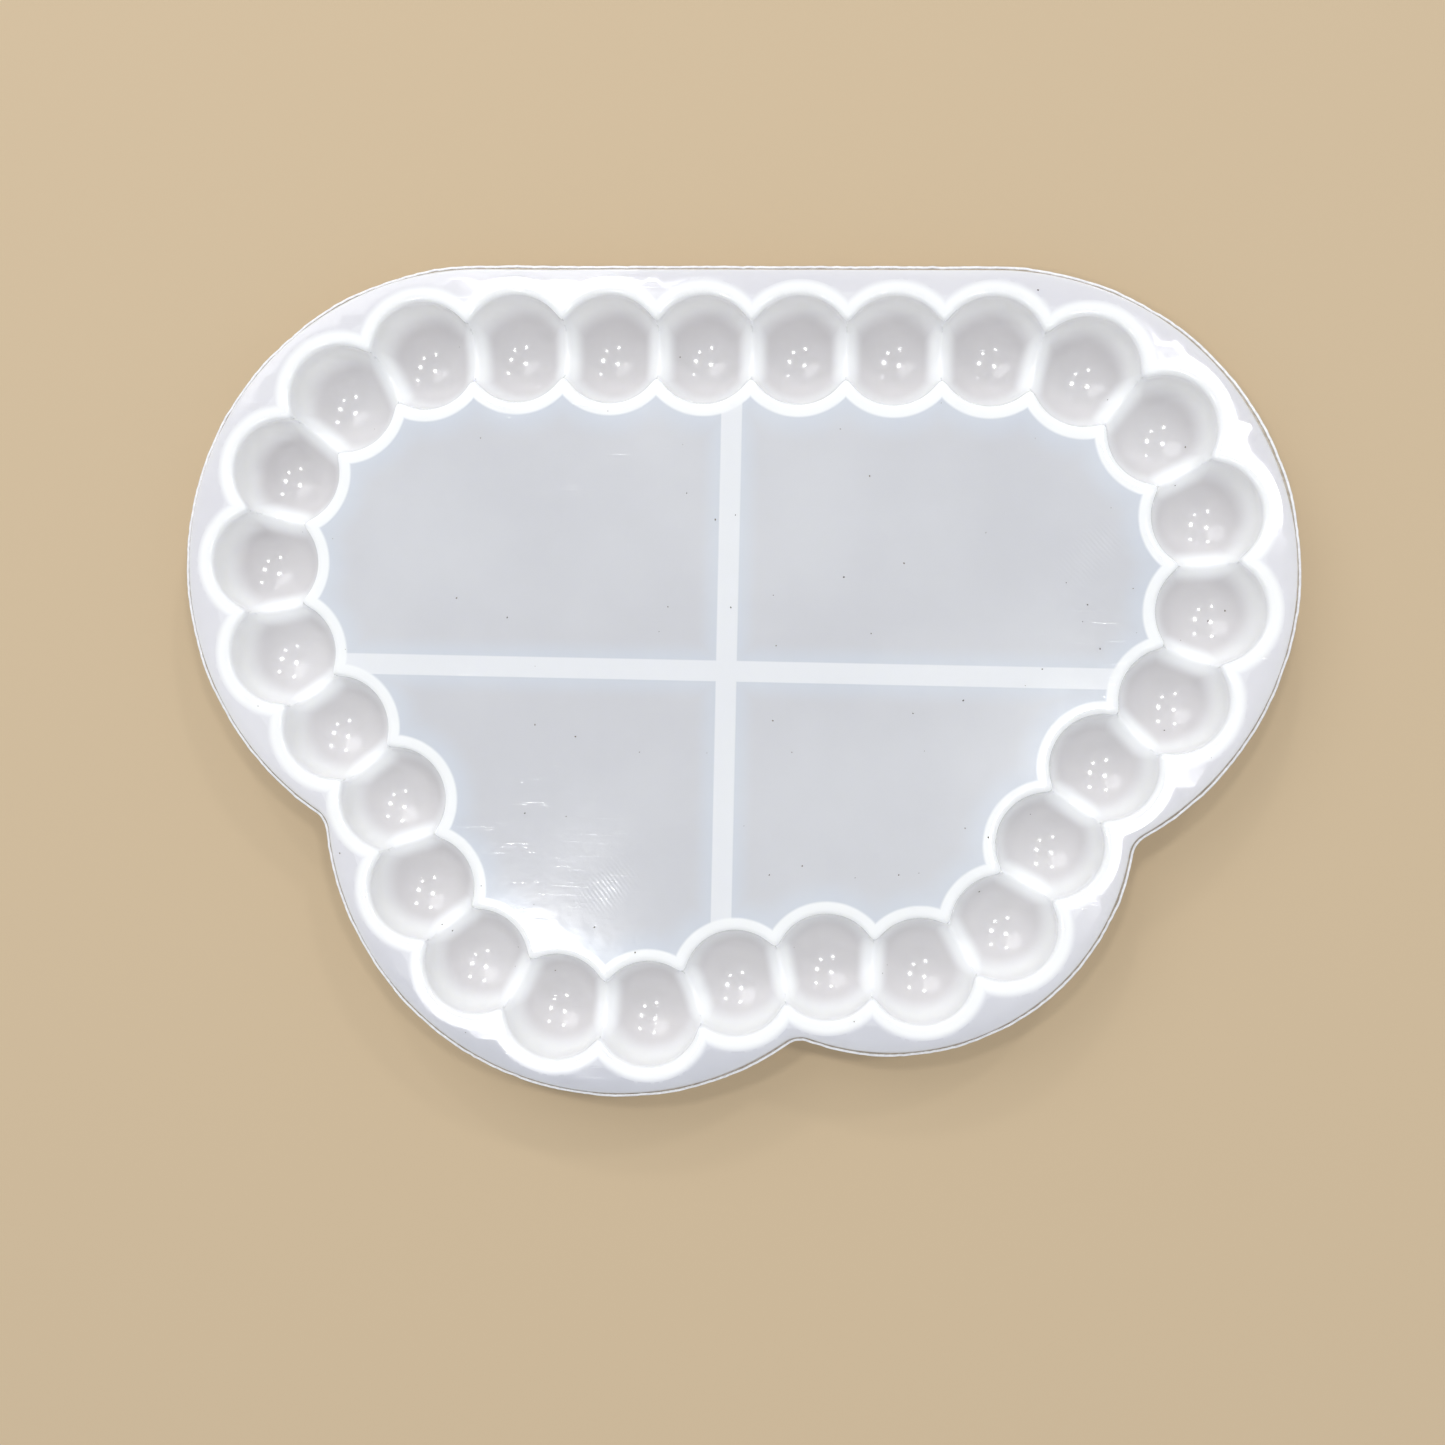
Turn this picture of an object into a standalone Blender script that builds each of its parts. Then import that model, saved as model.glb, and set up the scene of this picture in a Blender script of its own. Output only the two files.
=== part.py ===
"""A cloud-shaped silicone mould: a ring of round bead cups about a shallow floor, with a flange.

Metres, +Z up, pouring side up. The origin is at the centre of the footprint, on the plane that
the mould rests on. +X runs along the straight rear edge and +Y points to that edge.
"""

import math
from dataclasses import dataclass

import bmesh
import bpy
from mathutils import Matrix, Vector

# Plan of the cloud, on the line that the cup centres follow.
SIDE_LOBE_X = 0.0460
SIDE_LOBE_Y = 0.0422
SIDE_LOBE_RADIUS = 0.0396
FRONT_LEFT_X = -0.0200
FRONT_LEFT_RADIUS = 0.0392
FRONT_RIGHT_X = 0.0293
FRONT_RIGHT_Y = -0.0007
FRONT_RIGHT_RADIUS = 0.0292
CUP_WAIST_RADIUS = 0.0350

# Cups.
CUP_COUNT = 28
FIRST_CUP = 0.0107
CUP_RADIUS = 0.0095
CUP_WALL = 0.0024
CUP_BASE = 0.0020

# Flange round the outside, at the level of the cups' rims. Its rim is what lies past the cups.
FLANGE_RIM = 0.0030
FLANGE_THICKNESS = 0.0020
FLANGE_WAIST_RADIUS = 0.0040

# Floor of the tray inside the ring, and the cross of ribs that carries it.
TRAY_DEPTH = 0.0020
TRAY_THICKNESS = 0.0018
RIB_WIDTH = 0.0037
RIB_X = -0.0003
RIB_Y = 0.0029
RIB_SETBACK = 0.0085

# Clearance between neighbouring pieces.
GAP = 0.0003

# Fineness of the round shapes.
CUP_STEPS = 20
CUP_ROWS = 4
ARC_STEP = math.radians(6.0)
SEARCH_STEP = 0.0002
WELD = 1e-6

FLANGE_REACH = CUP_RADIUS + CUP_WALL + FLANGE_RIM
FLOOR_TOP = CUP_BASE + CUP_RADIUS
HEIGHT = FLOOR_TOP + TRAY_DEPTH
CLEAR = 0.0100
FAR = 0.5000


@dataclass(frozen=True)
class Arc:
    """One circular stretch of a plan line, turned from start to end."""

    centre: Vector
    radius: float
    start: float
    end: float

    def at(self, share):
        """The point at a share of the way from the start, 0, to the end, 1."""
        angle = self.start + (self.end - self.start) * share
        return self.centre + self.radius * Vector((math.cos(angle), math.sin(angle)))

    def points(self, count):
        """Evenly spaced points, both ends included."""
        return [self.at(i / count) for i in range(count + 1)]

    def half(self, first):
        """The first or the second half of the arc."""
        middle = 0.5 * (self.start + self.end)
        if first:
            return Arc(self.centre, self.radius, self.start, middle)
        return Arc(self.centre, self.radius, middle, self.end)


def angle_of(vector):
    """Direction of a plan vector, in radians."""
    return math.atan2(vector.y, vector.x)


def turned_on(angle, after):
    """The same direction as angle, at or past after and within one turn of it."""
    return after + (angle - after) % (2.0 * math.pi)


def lobes():
    """Centre and radius of each lobe, anticlockwise from the left, centred on the footprint."""
    rear = SIDE_LOBE_Y + SIDE_LOBE_RADIUS
    front = min(-FRONT_LEFT_RADIUS, FRONT_RIGHT_Y - FRONT_RIGHT_RADIUS)
    shift = -0.5 * (rear + front)
    return [
        (Vector((-SIDE_LOBE_X, SIDE_LOBE_Y + shift)), SIDE_LOBE_RADIUS),
        (Vector((FRONT_LEFT_X, shift)), FRONT_LEFT_RADIUS),
        (Vector((FRONT_RIGHT_X, FRONT_RIGHT_Y + shift)), FRONT_RIGHT_RADIUS),
        (Vector((SIDE_LOBE_X, SIDE_LOBE_Y + shift)), SIDE_LOBE_RADIUS),
    ]


def waist_centre(first, second, waist):
    """Centre of the concave circle that touches two lobes from outside."""
    (c1, r1), (c2, r2) = first, second
    span = (c2 - c1).length
    along = (c2 - c1) / span
    near, far = r1 + waist, r2 + waist
    reach = (near * near - far * far + span * span) / (2.0 * span)
    out = math.sqrt(near * near - reach * reach)
    return c1 + reach * along + out * Vector((along.y, -along.x))


def cloud_arcs(offset, waist):
    """The arcs of the cloud's line, moved outwards by offset, with waists of the given radius."""
    circles = [(centre, radius + offset) for centre, radius in lobes()]
    arcs = []
    start = 0.5 * math.pi
    for here, after in zip(circles, circles[1:]):
        hollow = waist_centre(here, after, waist)
        end = turned_on(angle_of(hollow - here[0]), start)
        arcs.append(Arc(here[0], here[1], start, end))
        enter = angle_of(here[0] - hollow)
        leave = enter - (enter - angle_of(after[0] - hollow)) % (2.0 * math.pi)
        arcs.append(Arc(hollow, waist, enter, leave))
        start = angle_of(hollow - after[0])
    end = turned_on(0.5 * math.pi, start)
    arcs.append(Arc(circles[-1][0], circles[-1][1], start, end))
    return arcs


def arc_points(arcs):
    """Points along joined arcs, with no point twice."""
    points = []
    for arc in arcs:
        count = max(3, math.ceil(abs(arc.end - arc.start) / ARC_STEP))
        points += arc.points(count)[1 if points else 0:]
    return points


def cup_centres():
    """The cups' plan centres, evenly spaced along the closed line through them."""
    line = []
    for arc in cloud_arcs(0.0, CUP_WAIST_RADIUS):
        count = math.ceil(abs(arc.end - arc.start) * arc.radius / SEARCH_STEP)
        line += arc.points(count)[1 if line else 0:]
    line.append(line[0])
    lengths = [0.0]
    for a, b in zip(line, line[1:]):
        lengths.append(lengths[-1] + (b - a).length)
    centres = []
    at = 0
    for i in range(CUP_COUNT):
        wanted = FIRST_CUP + i * lengths[-1] / CUP_COUNT
        while lengths[at + 1] < wanted:
            at += 1
        share = (wanted - lengths[at]) / (lengths[at + 1] - lengths[at])
        centres.append(line[at].lerp(line[at + 1], share))
    return centres


def new_collection(name):
    """A collection in the scene."""
    collection = bpy.data.collections.new(name)
    bpy.context.scene.collection.children.link(collection)
    return collection


def clear_scene():
    """Removes what the file opens with."""
    for obj in list(bpy.data.objects):
        bpy.data.objects.remove(obj)


def silicone(name, color, roughness):
    """A Principled material for one kind of piece."""
    material = bpy.data.materials.new(name)
    material.use_nodes = True
    shader = material.node_tree.nodes["Principled BSDF"]
    shader.inputs["Base Color"].default_value = (*color, 1.0)
    shader.inputs["Roughness"].default_value = roughness
    shader.inputs["Metallic"].default_value = 0.0
    return material


def add_object(name, mesh, collection):
    """Links a mesh as a named object."""
    obj = bpy.data.objects.new(name, mesh)
    collection.objects.link(obj)
    return obj


def as_cutter(obj):
    """Hides a helper from the render and draws it as a wire."""
    obj.hide_render = True
    obj.display_type = "WIRE"
    return obj


def box(name, low, high, collection):
    """A box between two corners, with its origin at the world's."""
    mesh = bpy.data.meshes.new(name)
    low, high = Vector(low), Vector(high)
    place = Matrix.Translation(0.5 * (low + high)) @ Matrix.Diagonal((*(high - low), 1.0))
    body = bmesh.new()
    bmesh.ops.create_cube(body, size=1.0, matrix=place)
    body.to_mesh(mesh)
    body.free()
    return add_object(name, mesh, collection)


def plate(name, outline, low, high, collection):
    """An upright prism on a closed plan outline, between two heights."""
    curve = bpy.data.curves.new(name, "CURVE")
    curve.dimensions = "2D"
    curve.fill_mode = "BOTH"
    curve.extrude = 0.5 * (high - low)
    spline = curve.splines.new("POLY")
    spline.points.add(len(outline) - 1)
    for point, place in zip(spline.points, outline):
        point.co = (place.x, place.y, 0.0, 1.0)
    spline.use_cyclic_u = True
    source = add_object(name + "_outline", curve, collection)
    graph = bpy.context.evaluated_depsgraph_get()
    mesh = bpy.data.meshes.new_from_object(source.evaluated_get(graph))
    bpy.data.objects.remove(source)
    body = bmesh.new()
    body.from_mesh(mesh)
    bmesh.ops.remove_doubles(body, verts=body.verts, dist=WELD)
    bmesh.ops.recalc_face_normals(body, faces=body.faces)
    body.to_mesh(mesh)
    body.free()
    mesh.name = name
    mesh.materials.clear()
    obj = add_object(name, mesh, collection)
    obj.location.z = 0.5 * (low + high)
    return obj


def turned(name, profile, collection):
    """A solid turned about its own Z axis from a profile of (radius, height) points."""
    mesh = bpy.data.meshes.new(name)
    body = bmesh.new()
    verts = [body.verts.new((radius, 0.0, height)) for radius, height in profile]
    for a, b in zip(verts, verts[1:]):
        body.edges.new((a, b))
    body.to_mesh(mesh)
    body.free()
    obj = add_object(name, mesh, collection)
    screw = obj.modifiers.new("Turn", "SCREW")
    screw.axis = "Z"
    screw.steps = CUP_STEPS
    screw.render_steps = CUP_STEPS
    screw.use_merge_vertices = True
    screw.merge_threshold = WELD
    return obj


def bowl_side(radius, top, lowest):
    """Points down a bowl's side as (radius, height): upright to the floor's level, then round."""
    steepest = math.asin((FLOOR_TOP - lowest) / radius)
    angles = [steepest * i / CUP_ROWS for i in range(CUP_ROWS + 1)]
    arc = [(radius * math.cos(a), FLOOR_TOP - radius * math.sin(a)) for a in angles]
    return [(radius, top), *arc]


def cut(obj, name, operation, cutter):
    """Adds one Boolean, against an object or every object of a collection."""
    boolean = obj.modifiers.new(name, "BOOLEAN")
    boolean.operation = operation
    if isinstance(cutter, bpy.types.Collection):
        boolean.operand_type = "COLLECTION"
        boolean.collection = cutter
    else:
        boolean.object = cutter


def make_cups(centres, parts, cutters, tray_opening, finish):
    """One open cup at each centre, parted from its neighbours half-way to them."""
    inner = bowl_side(CUP_RADIUS, HEIGHT, CUP_BASE)
    outer = bowl_side(CUP_RADIUS + CUP_WALL, HEIGHT, 0.0)
    shell = [*reversed(inner), *outer, (0.0, 0.0)]
    for i, centre in enumerate(centres):
        before, after = centres[i - 1], centres[(i + 1) % len(centres)]
        cup = turned(f"bead_cup_{i + 1:02d}", shell, parts)
        cup.location = (*centre, 0.0)
        cup.rotation_euler.z = angle_of(after - before)
        cup.data.materials.append(finish)
        for side, other in (("before", before), ("after", after)):
            reach = 0.5 * ((other - centre).length - GAP)
            low = (reach, -CUP_RADIUS - CLEAR, -CLEAR)
            high = (reach + CUP_RADIUS, CUP_RADIUS + CLEAR, HEIGHT + CLEAR)
            block = as_cutter(box(f"{cup.name}_{side}", low, high, cutters))
            block.location = cup.location
            block.rotation_euler.z = angle_of(other - centre)
            cut(cup, f"Part from cup {side}", "DIFFERENCE", block)
        cut(cup, "Lower the rim to the floor", "DIFFERENCE", tray_opening)


def make_envelopes(centres, room):
    """The space of each cup with a clearance round it, which its neighbours are cut back to."""
    top = HEIGHT + CLEAR
    side = bowl_side(CUP_RADIUS + CUP_WALL + GAP, top, 0.0)
    outline = [(0.0, top), *side, (side[-1][0], -CLEAR), (0.0, -CLEAR)]
    for i, centre in enumerate(centres):
        before, after = centres[i - 1], centres[(i + 1) % len(centres)]
        envelope = as_cutter(turned(f"cup_space_{i + 1:02d}", outline, room))
        envelope.location = (*centre, 0.0)
        envelope.rotation_euler.z = angle_of(after - before)


def flange_joins(line, edge):
    """Where the flange's stretches meet, as (point on the cups' line, point on the edge)."""
    joins = [(line[0].at(0.0), edge[0].at(0.0))]
    joins += [(a.at(0.5), b.at(0.5)) for a, b in zip(line[1::2], edge[1::2])]
    joins.append((line[-1].at(1.0), edge[-1].at(1.0)))
    return joins


def make_slots(joins, cutters):
    """The thin slots that part the flange's stretches."""
    slots = []
    for i, (inside, outside) in enumerate(joins):
        outward = outside - inside
        low = (-CLEAR, -0.5 * GAP, -CLEAR)
        high = (outward.length + CLEAR, 0.5 * GAP, HEIGHT + CLEAR)
        slot = as_cutter(box(f"flange_slot_{i + 1}", low, high, cutters))
        slot.location = (*inside, 0.0)
        slot.rotation_euler.z = angle_of(outward)
        slots.append(slot)
    return slots


def make_flange(parts, cutters, ring, room, finish):
    """The flange in five stretches: the straight rear, and one round each lobe."""
    edge = cloud_arcs(FLANGE_REACH, FLANGE_WAIST_RADIUS)
    line = cloud_arcs(0.0, CUP_WAIST_RADIUS)
    joins = flange_joins(line, edge)
    slots = make_slots(joins, cutters)
    stretches = [("flange_rear", [joins[-1][1], joins[0][1]], len(joins) - 1, 0)]
    for i, name in enumerate(
        ("flange_left", "flange_front_left", "flange_front_right", "flange_right")
    ):
        before = [waist.half(False) for waist in edge[max(2 * i - 1, 0):2 * i]]
        after = [waist.half(True) for waist in edge[2 * i + 1:2 * i + 2]]
        outline = arc_points([*before, edge[2 * i], *after])
        stretches.append((name, outline, i, i + 1))
    for name, outline, first, last in stretches:
        outline = [*outline, joins[last][0], joins[first][0]]
        piece = plate(name, outline, HEIGHT - FLANGE_THICKNESS, HEIGHT, parts)
        piece.data.materials.append(finish)
        cut(piece, "Open the middle", "DIFFERENCE", ring)
        cut(piece, "Clear the cups", "DIFFERENCE", room)
        cut(piece, "Part from the stretch before", "DIFFERENCE", slots[first])
        cut(piece, "Part from the stretch after", "DIFFERENCE", slots[last])


def make_tray(parts, ring, room, finish):
    """The tray's floor, one panel in each quarter that the cross leaves."""
    low = FLOOR_TOP - TRAY_THICKNESS
    near = 0.5 * RIB_WIDTH + GAP
    for name, sx, sy in (
        ("tray_floor_rear_left", -1, 1),
        ("tray_floor_rear_right", 1, 1),
        ("tray_floor_front_left", -1, -1),
        ("tray_floor_front_right", 1, -1),
    ):
        xs = sorted((RIB_X + sx * near, RIB_X + sx * FAR))
        ys = sorted((RIB_Y + sy * near, RIB_Y + sy * FAR))
        panel = box(name, (xs[0], ys[0], low), (xs[1], ys[1], FLOOR_TOP), parts)
        panel.data.materials.append(finish)
        cut(panel, "Keep inside the ring", "INTERSECT", ring)
        cut(panel, "Clear the cups", "DIFFERENCE", room)


def make_ribs(parts, cutters, room, finish):
    """The cross: a hub and four arms, from the resting plane up to the tray's floor."""
    limit_line = arc_points(cloud_arcs(-RIB_SETBACK, CUP_WAIST_RADIUS + RIB_SETBACK))
    limit = as_cutter(plate("rib_limit", limit_line, -CLEAR, HEIGHT + CLEAR, cutters))
    half = 0.5 * RIB_WIDTH
    low = (RIB_X - half, RIB_Y - half, 0.0)
    high = (RIB_X + half, RIB_Y + half, FLOOR_TOP)
    box("rib_hub", low, high, parts).data.materials.append(finish)
    for name, axis, sign in (
        ("rib_left", 0, -1),
        ("rib_right", 0, 1),
        ("rib_front", 1, -1),
        ("rib_rear", 1, 1),
    ):
        start, end = list(low), list(high)
        centre = (RIB_X, RIB_Y)[axis]
        reach = sorted((centre + sign * (half + GAP), centre + sign * FAR))
        start[axis], end[axis] = reach
        arm = box(name, start, end, parts)
        arm.data.materials.append(finish)
        cut(arm, "Stop under the cups", "INTERSECT", limit)
        cut(arm, "Clear the cups", "DIFFERENCE", room)


def main():
    """Builds every piece."""
    clear_scene()
    parts = new_collection("silicone_soap_mould")
    cutters = new_collection("cutters")
    room = new_collection("cup_spaces")
    room.hide_render = True
    wall = silicone("milky_silicone_wall", (0.86, 0.87, 0.89), 0.25)
    sheet = silicone("milky_silicone_sheet", (0.67, 0.67, 0.70), 0.22)
    rib = silicone("milky_silicone_rib", (0.88, 0.89, 0.91), 0.25)
    centres = cup_centres()
    ring = as_cutter(plate("ring_inside", centres, -CLEAR, HEIGHT + CLEAR, cutters))
    opening = as_cutter(plate("tray_opening", centres, FLOOR_TOP, HEIGHT + CLEAR, cutters))
    make_envelopes(centres, room)
    make_cups(centres, parts, cutters, opening, wall)
    make_flange(parts, cutters, ring, room, sheet)
    make_tray(parts, ring, room, sheet)
    make_ribs(parts, cutters, room, rib)


main()
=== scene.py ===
"""Looks of a cloud-shaped silicone soap mould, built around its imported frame.

The mould is one soft moulding: a ring of round bowls about a shallow tray, a flange round the
outside and a cross of ribs underneath. A blank of points is laid out cell by cell, and a
Geometry Nodes tree presses it on to the smooth surface that the balls and flats make together.
Metres, +Z up, +Y to the straight rear edge.
"""

import logging
import math
from dataclasses import dataclass, field
from enum import Enum

import bmesh
import bpy
import numpy as np
from mathutils import Matrix, Vector
from mathutils.geometry import delaunay_2d_cdt


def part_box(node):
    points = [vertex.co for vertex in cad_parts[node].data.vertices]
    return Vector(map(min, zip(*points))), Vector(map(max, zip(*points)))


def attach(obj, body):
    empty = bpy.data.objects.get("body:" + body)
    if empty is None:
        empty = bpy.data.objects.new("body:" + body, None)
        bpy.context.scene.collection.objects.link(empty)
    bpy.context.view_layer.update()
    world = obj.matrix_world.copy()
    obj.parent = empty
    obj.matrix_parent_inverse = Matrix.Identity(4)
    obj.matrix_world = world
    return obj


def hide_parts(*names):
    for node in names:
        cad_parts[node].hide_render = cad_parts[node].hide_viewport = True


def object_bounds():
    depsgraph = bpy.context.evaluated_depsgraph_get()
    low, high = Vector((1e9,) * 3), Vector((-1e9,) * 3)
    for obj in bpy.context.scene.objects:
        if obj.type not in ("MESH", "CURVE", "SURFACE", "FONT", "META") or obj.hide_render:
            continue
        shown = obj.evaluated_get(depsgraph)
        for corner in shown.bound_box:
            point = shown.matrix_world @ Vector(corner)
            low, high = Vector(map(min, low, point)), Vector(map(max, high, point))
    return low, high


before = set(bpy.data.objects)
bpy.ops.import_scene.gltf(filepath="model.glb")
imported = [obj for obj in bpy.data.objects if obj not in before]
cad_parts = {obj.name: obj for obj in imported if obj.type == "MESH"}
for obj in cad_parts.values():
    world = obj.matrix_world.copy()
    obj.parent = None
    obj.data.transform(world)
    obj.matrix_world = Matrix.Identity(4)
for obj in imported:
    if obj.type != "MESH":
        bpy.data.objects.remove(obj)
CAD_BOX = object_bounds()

LOG = logging.getLogger("soap_mould")
MM = 0.001
FULL_TURN = 2.0 * math.pi
RIGHT_ANGLE = 0.5 * math.pi
SAME_PLACE = 1e-6 * MM
TRIANGLE_HEIGHT = math.sqrt(0.75)

Colour = tuple[float, float, float, float]
Span = tuple[float, float]
Socket = bpy.types.NodeSocket


class Half(Enum):
    """The two halves of a bowl: towards the tray, and towards the flange."""

    TRAY = "tray"
    FLANGE = "flange"


class Skin(Enum):
    """The two faces of the moulding."""

    TOP = "top"
    UNDER = "under"


# A direction or an offset in plan, the length down a bowl's section, and the half it is on.
CellPoint = tuple[float, float, Half]


def angle_of(vector: Vector) -> float:
    """Returns the direction of a plan vector, in radians."""
    return math.atan2(vector.y, vector.x)


def turned_on(angle: float, after: float) -> float:
    """Returns the same direction as angle, at or past after and within one turn of it."""
    return after + (angle - after) % FULL_TURN


def linear(red: int, green: int, blue: int) -> Colour:
    """Converts a display colour to the linear values that shaders take.

    Args:
        red: Red from 0 to 255.
        green: Green from 0 to 255.
        blue: Blue from 0 to 255.

    Returns:
        Linear red, green and blue, with an alpha of 1.
    """
    def one(value: int) -> float:
        """Takes one of the three through the standard display curve."""
        share = value / 255.0
        return share / 12.92 if share <= 0.04045 else ((share + 0.055) / 1.055) ** 2.4

    return (one(red), one(green), one(blue), 1.0)


@dataclass(frozen=True)
class Arc:
    """One circular stretch of a plan line, turned from start to end."""

    centre: Vector
    radius: float
    start: float
    end: float

    def at(self, share: float) -> Vector:
        """Returns the point at a share of the way, from 0 to 1."""
        angle = self.start + (self.end - self.start) * share
        return self.centre + self.radius * Vector((math.cos(angle), math.sin(angle)))


@dataclass(frozen=True)
class CloudPlan:
    """The plan of the cloud: four lobes joined by waists, with a straight rear edge."""

    side_x: float = 0.0460
    side_y: float = 0.0422
    side_radius: float = 0.0396
    front_left_x: float = -0.0200
    front_left_radius: float = 0.0392
    front_right_x: float = 0.0293
    front_right_y: float = -0.0007
    front_right_radius: float = 0.0292
    flange_reach: float = 0.0149
    flange_waist: float = 0.0040
    step: float = 0.0008
    least_steps: int = 8

    def lobes(self) -> list[tuple[Vector, float]]:
        """Places the lobes, with the middle of the outline's depth at the origin.

        Returns:
            The centre and radius of each lobe, anticlockwise from the left.
        """
        rear = self.side_y + self.side_radius
        front = min(-self.front_left_radius, self.front_right_y - self.front_right_radius)
        shift = -0.5 * (rear + front)
        return [
            (Vector((-self.side_x, self.side_y + shift)), self.side_radius),
            (Vector((self.front_left_x, shift)), self.front_left_radius),
            (Vector((self.front_right_x, self.front_right_y + shift)), self.front_right_radius),
            (Vector((self.side_x, self.side_y + shift)), self.side_radius),
        ]

    @staticmethod
    def waist_centre(
        here: tuple[Vector, float], after: tuple[Vector, float], waist: float
    ) -> Vector:
        """Finds the centre of the concave circle that touches two lobes from outside.

        Args:
            here: Centre and radius of the first lobe.
            after: Centre and radius of the lobe anticlockwise of it.
            waist: Radius of the concave circle.

        Returns:
            The centre of that circle.
        """
        (c1, r1), (c2, r2) = here, after
        span = (c2 - c1).length
        along = (c2 - c1) / span
        near, far = r1 + waist, r2 + waist
        reach = (near * near - far * far + span * span) / (2.0 * span)
        out = math.sqrt(near * near - reach * reach)
        return c1 + reach * along + out * Vector((along.y, -along.x))

    def edge_arcs(self, inset: float) -> list[Arc]:
        """Draws the flange's edge, anticlockwise from its straight rear stretch.

        Args:
            inset: How far inside the edge the arcs lie.

        Returns:
            The arcs of the lobes and of the waists between them.
        """
        waist = self.flange_waist + inset
        grow = self.flange_reach - inset
        circles = [(centre, radius + grow) for centre, radius in self.lobes()]
        arcs = []
        start = RIGHT_ANGLE
        for here, after in zip(circles, circles[1:]):
            hollow = self.waist_centre(here, after, waist)
            arcs.append(Arc(*here, start, turned_on(angle_of(hollow - here[0]), start)))
            enter = angle_of(here[0] - hollow)
            leave = enter - (enter - angle_of(after[0] - hollow)) % FULL_TURN
            arcs.append(Arc(hollow, waist, enter, leave))
            start = angle_of(hollow - after[0])
        arcs.append(Arc(*circles[-1], start, turned_on(RIGHT_ANGLE, start)))
        return arcs

    def edge(self, inset: float) -> list[Vector]:
        """Lays points along the flange's edge, the same number at every inset.

        Args:
            inset: How far inside the edge the line lies.

        Returns:
            A closed anticlockwise line of plan points.
        """
        points = []
        for outer, arc in zip(self.edge_arcs(0.0), self.edge_arcs(inset)):
            turn = abs(outer.end - outer.start)
            count = max(self.least_steps, round(turn * outer.radius / self.step))
            points += [arc.at(i / count) for i in range(count)]
        first, last = points[0], arc.at(1.0)
        count = round((first - last).length / self.step)
        return points + [last.lerp(first, i / count) for i in range(count)]


@dataclass(frozen=True)
class BallProfile:
    """Section of a half ball that opens into a flat: round, then upright, then flat."""

    centre_height: float
    radius: float
    level: float

    @property
    def wall(self) -> float:
        """Height of the upright stretch."""
        return max(self.level - self.centre_height, 0.0)

    @property
    def arc(self) -> float:
        """Length of the round stretch, from the pole."""
        drop = max(self.centre_height - self.level, 0.0)
        return self.radius * math.acos(drop / self.radius)

    @property
    def rim(self) -> float:
        """Distance from the axis to where the flat begins."""
        return self.radius * math.sin(self.arc / self.radius)

    def length_to(self, distance: float) -> float:
        """Measures along the section.

        Args:
            distance: Distance from the axis.

        Returns:
            The length along the section from the pole to there.
        """
        if distance < self.rim:
            return self.radius * math.asin(distance / self.radius)
        return self.arc + self.wall + distance - self.rim

    def at(self, length: float) -> tuple[float, float]:
        """Finds a place on the section.

        Args:
            length: Length along the section from the pole.

        Returns:
            The distance from the axis and the height there.
        """
        if length <= self.arc:
            turn = length / self.radius
            rise = self.centre_height - self.radius * math.cos(turn)
            return self.radius * math.sin(turn), rise
        if length <= self.arc + self.wall:
            return self.rim, self.centre_height + length - self.arc
        return self.rim + length - self.arc - self.wall, self.level


@dataclass
class Blank:
    """Points and faces before pressing, with what each point belongs to."""

    points: list[tuple[float, float, float]] = field(default_factory=list)
    faces: list[tuple[int, ...]] = field(default_factory=list)
    cups: list[int] = field(default_factory=list)
    levels: list[float] = field(default_factory=list)
    radii: list[float] = field(default_factory=list)
    pressed: list[bool] = field(default_factory=list)

    def add(self, point: tuple, cup: int, level: float, radius: float, press: bool) -> int:
        """Adds one point.

        Args:
            point: Its place.
            cup: Number of the bowl that it belongs to.
            level: Height of the flat that it belongs to.
            radius: Radius of the balls on its face of the moulding.
            press: Whether the press moves it.

        Returns:
            The point's index.
        """
        self.points.append(tuple(point))
        self.cups.append(cup)
        self.levels.append(level)
        self.radii.append(radius)
        self.pressed.append(press)
        return len(self.points) - 1

    def mesh(self, name: str, weld: float) -> bpy.types.Mesh:
        """Makes the mesh, with points in one place made one.

        Args:
            name: Name of the mesh.
            weld: Distance within which points are one.

        Returns:
            The mesh, with an attribute for each list.
        """
        made = bpy.data.meshes.new(name)
        made.from_pydata(self.points, [], self.faces)
        for title, kind, values in (
            ("cup", "INT", self.cups),
            ("level", "FLOAT", self.levels),
            ("ball", "FLOAT", self.radii),
            ("pressed", "INT", self.pressed),
        ):
            made.attributes.new(title, kind, "POINT").data.foreach_set("value", values)
        body = bmesh.new()
        body.from_mesh(made)
        bmesh.ops.remove_doubles(body, verts=body.verts, dist=weld)
        body.to_mesh(made)
        body.free()
        return made


def inside(points: np.ndarray, loop: np.ndarray) -> np.ndarray:
    """Tests which plan points lie inside a closed line.

    Args:
        points: Array of points, one a row.
        loop: Array of the line's points, one a row.

    Returns:
        An array of True and False, one for each point.
    """
    x, y = points[:, 0:1], points[:, 1:2]
    x1, y1 = loop[:, 0], loop[:, 1]
    x2, y2 = np.roll(x1, -1), np.roll(y1, -1)
    rise = np.where(y1 == y2, 1.0, y2 - y1)
    crossing = ((y1 > y) != (y2 > y)) & (x < (x2 - x1) * (y - y1) / rise + x1)
    return crossing.sum(axis=1) % 2 == 1


def between(points: np.ndarray, loops: list[np.ndarray]) -> np.ndarray:
    """Tests which plan points lie inside the first closed line and outside the others.

    Args:
        points: Array of points, one a row.
        loops: The lines, each an array of points.

    Returns:
        An array of True and False, one for each point.
    """
    found = inside(points, loops[0])
    for hole in loops[1:]:
        found &= ~inside(points, hole)
    return found


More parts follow.
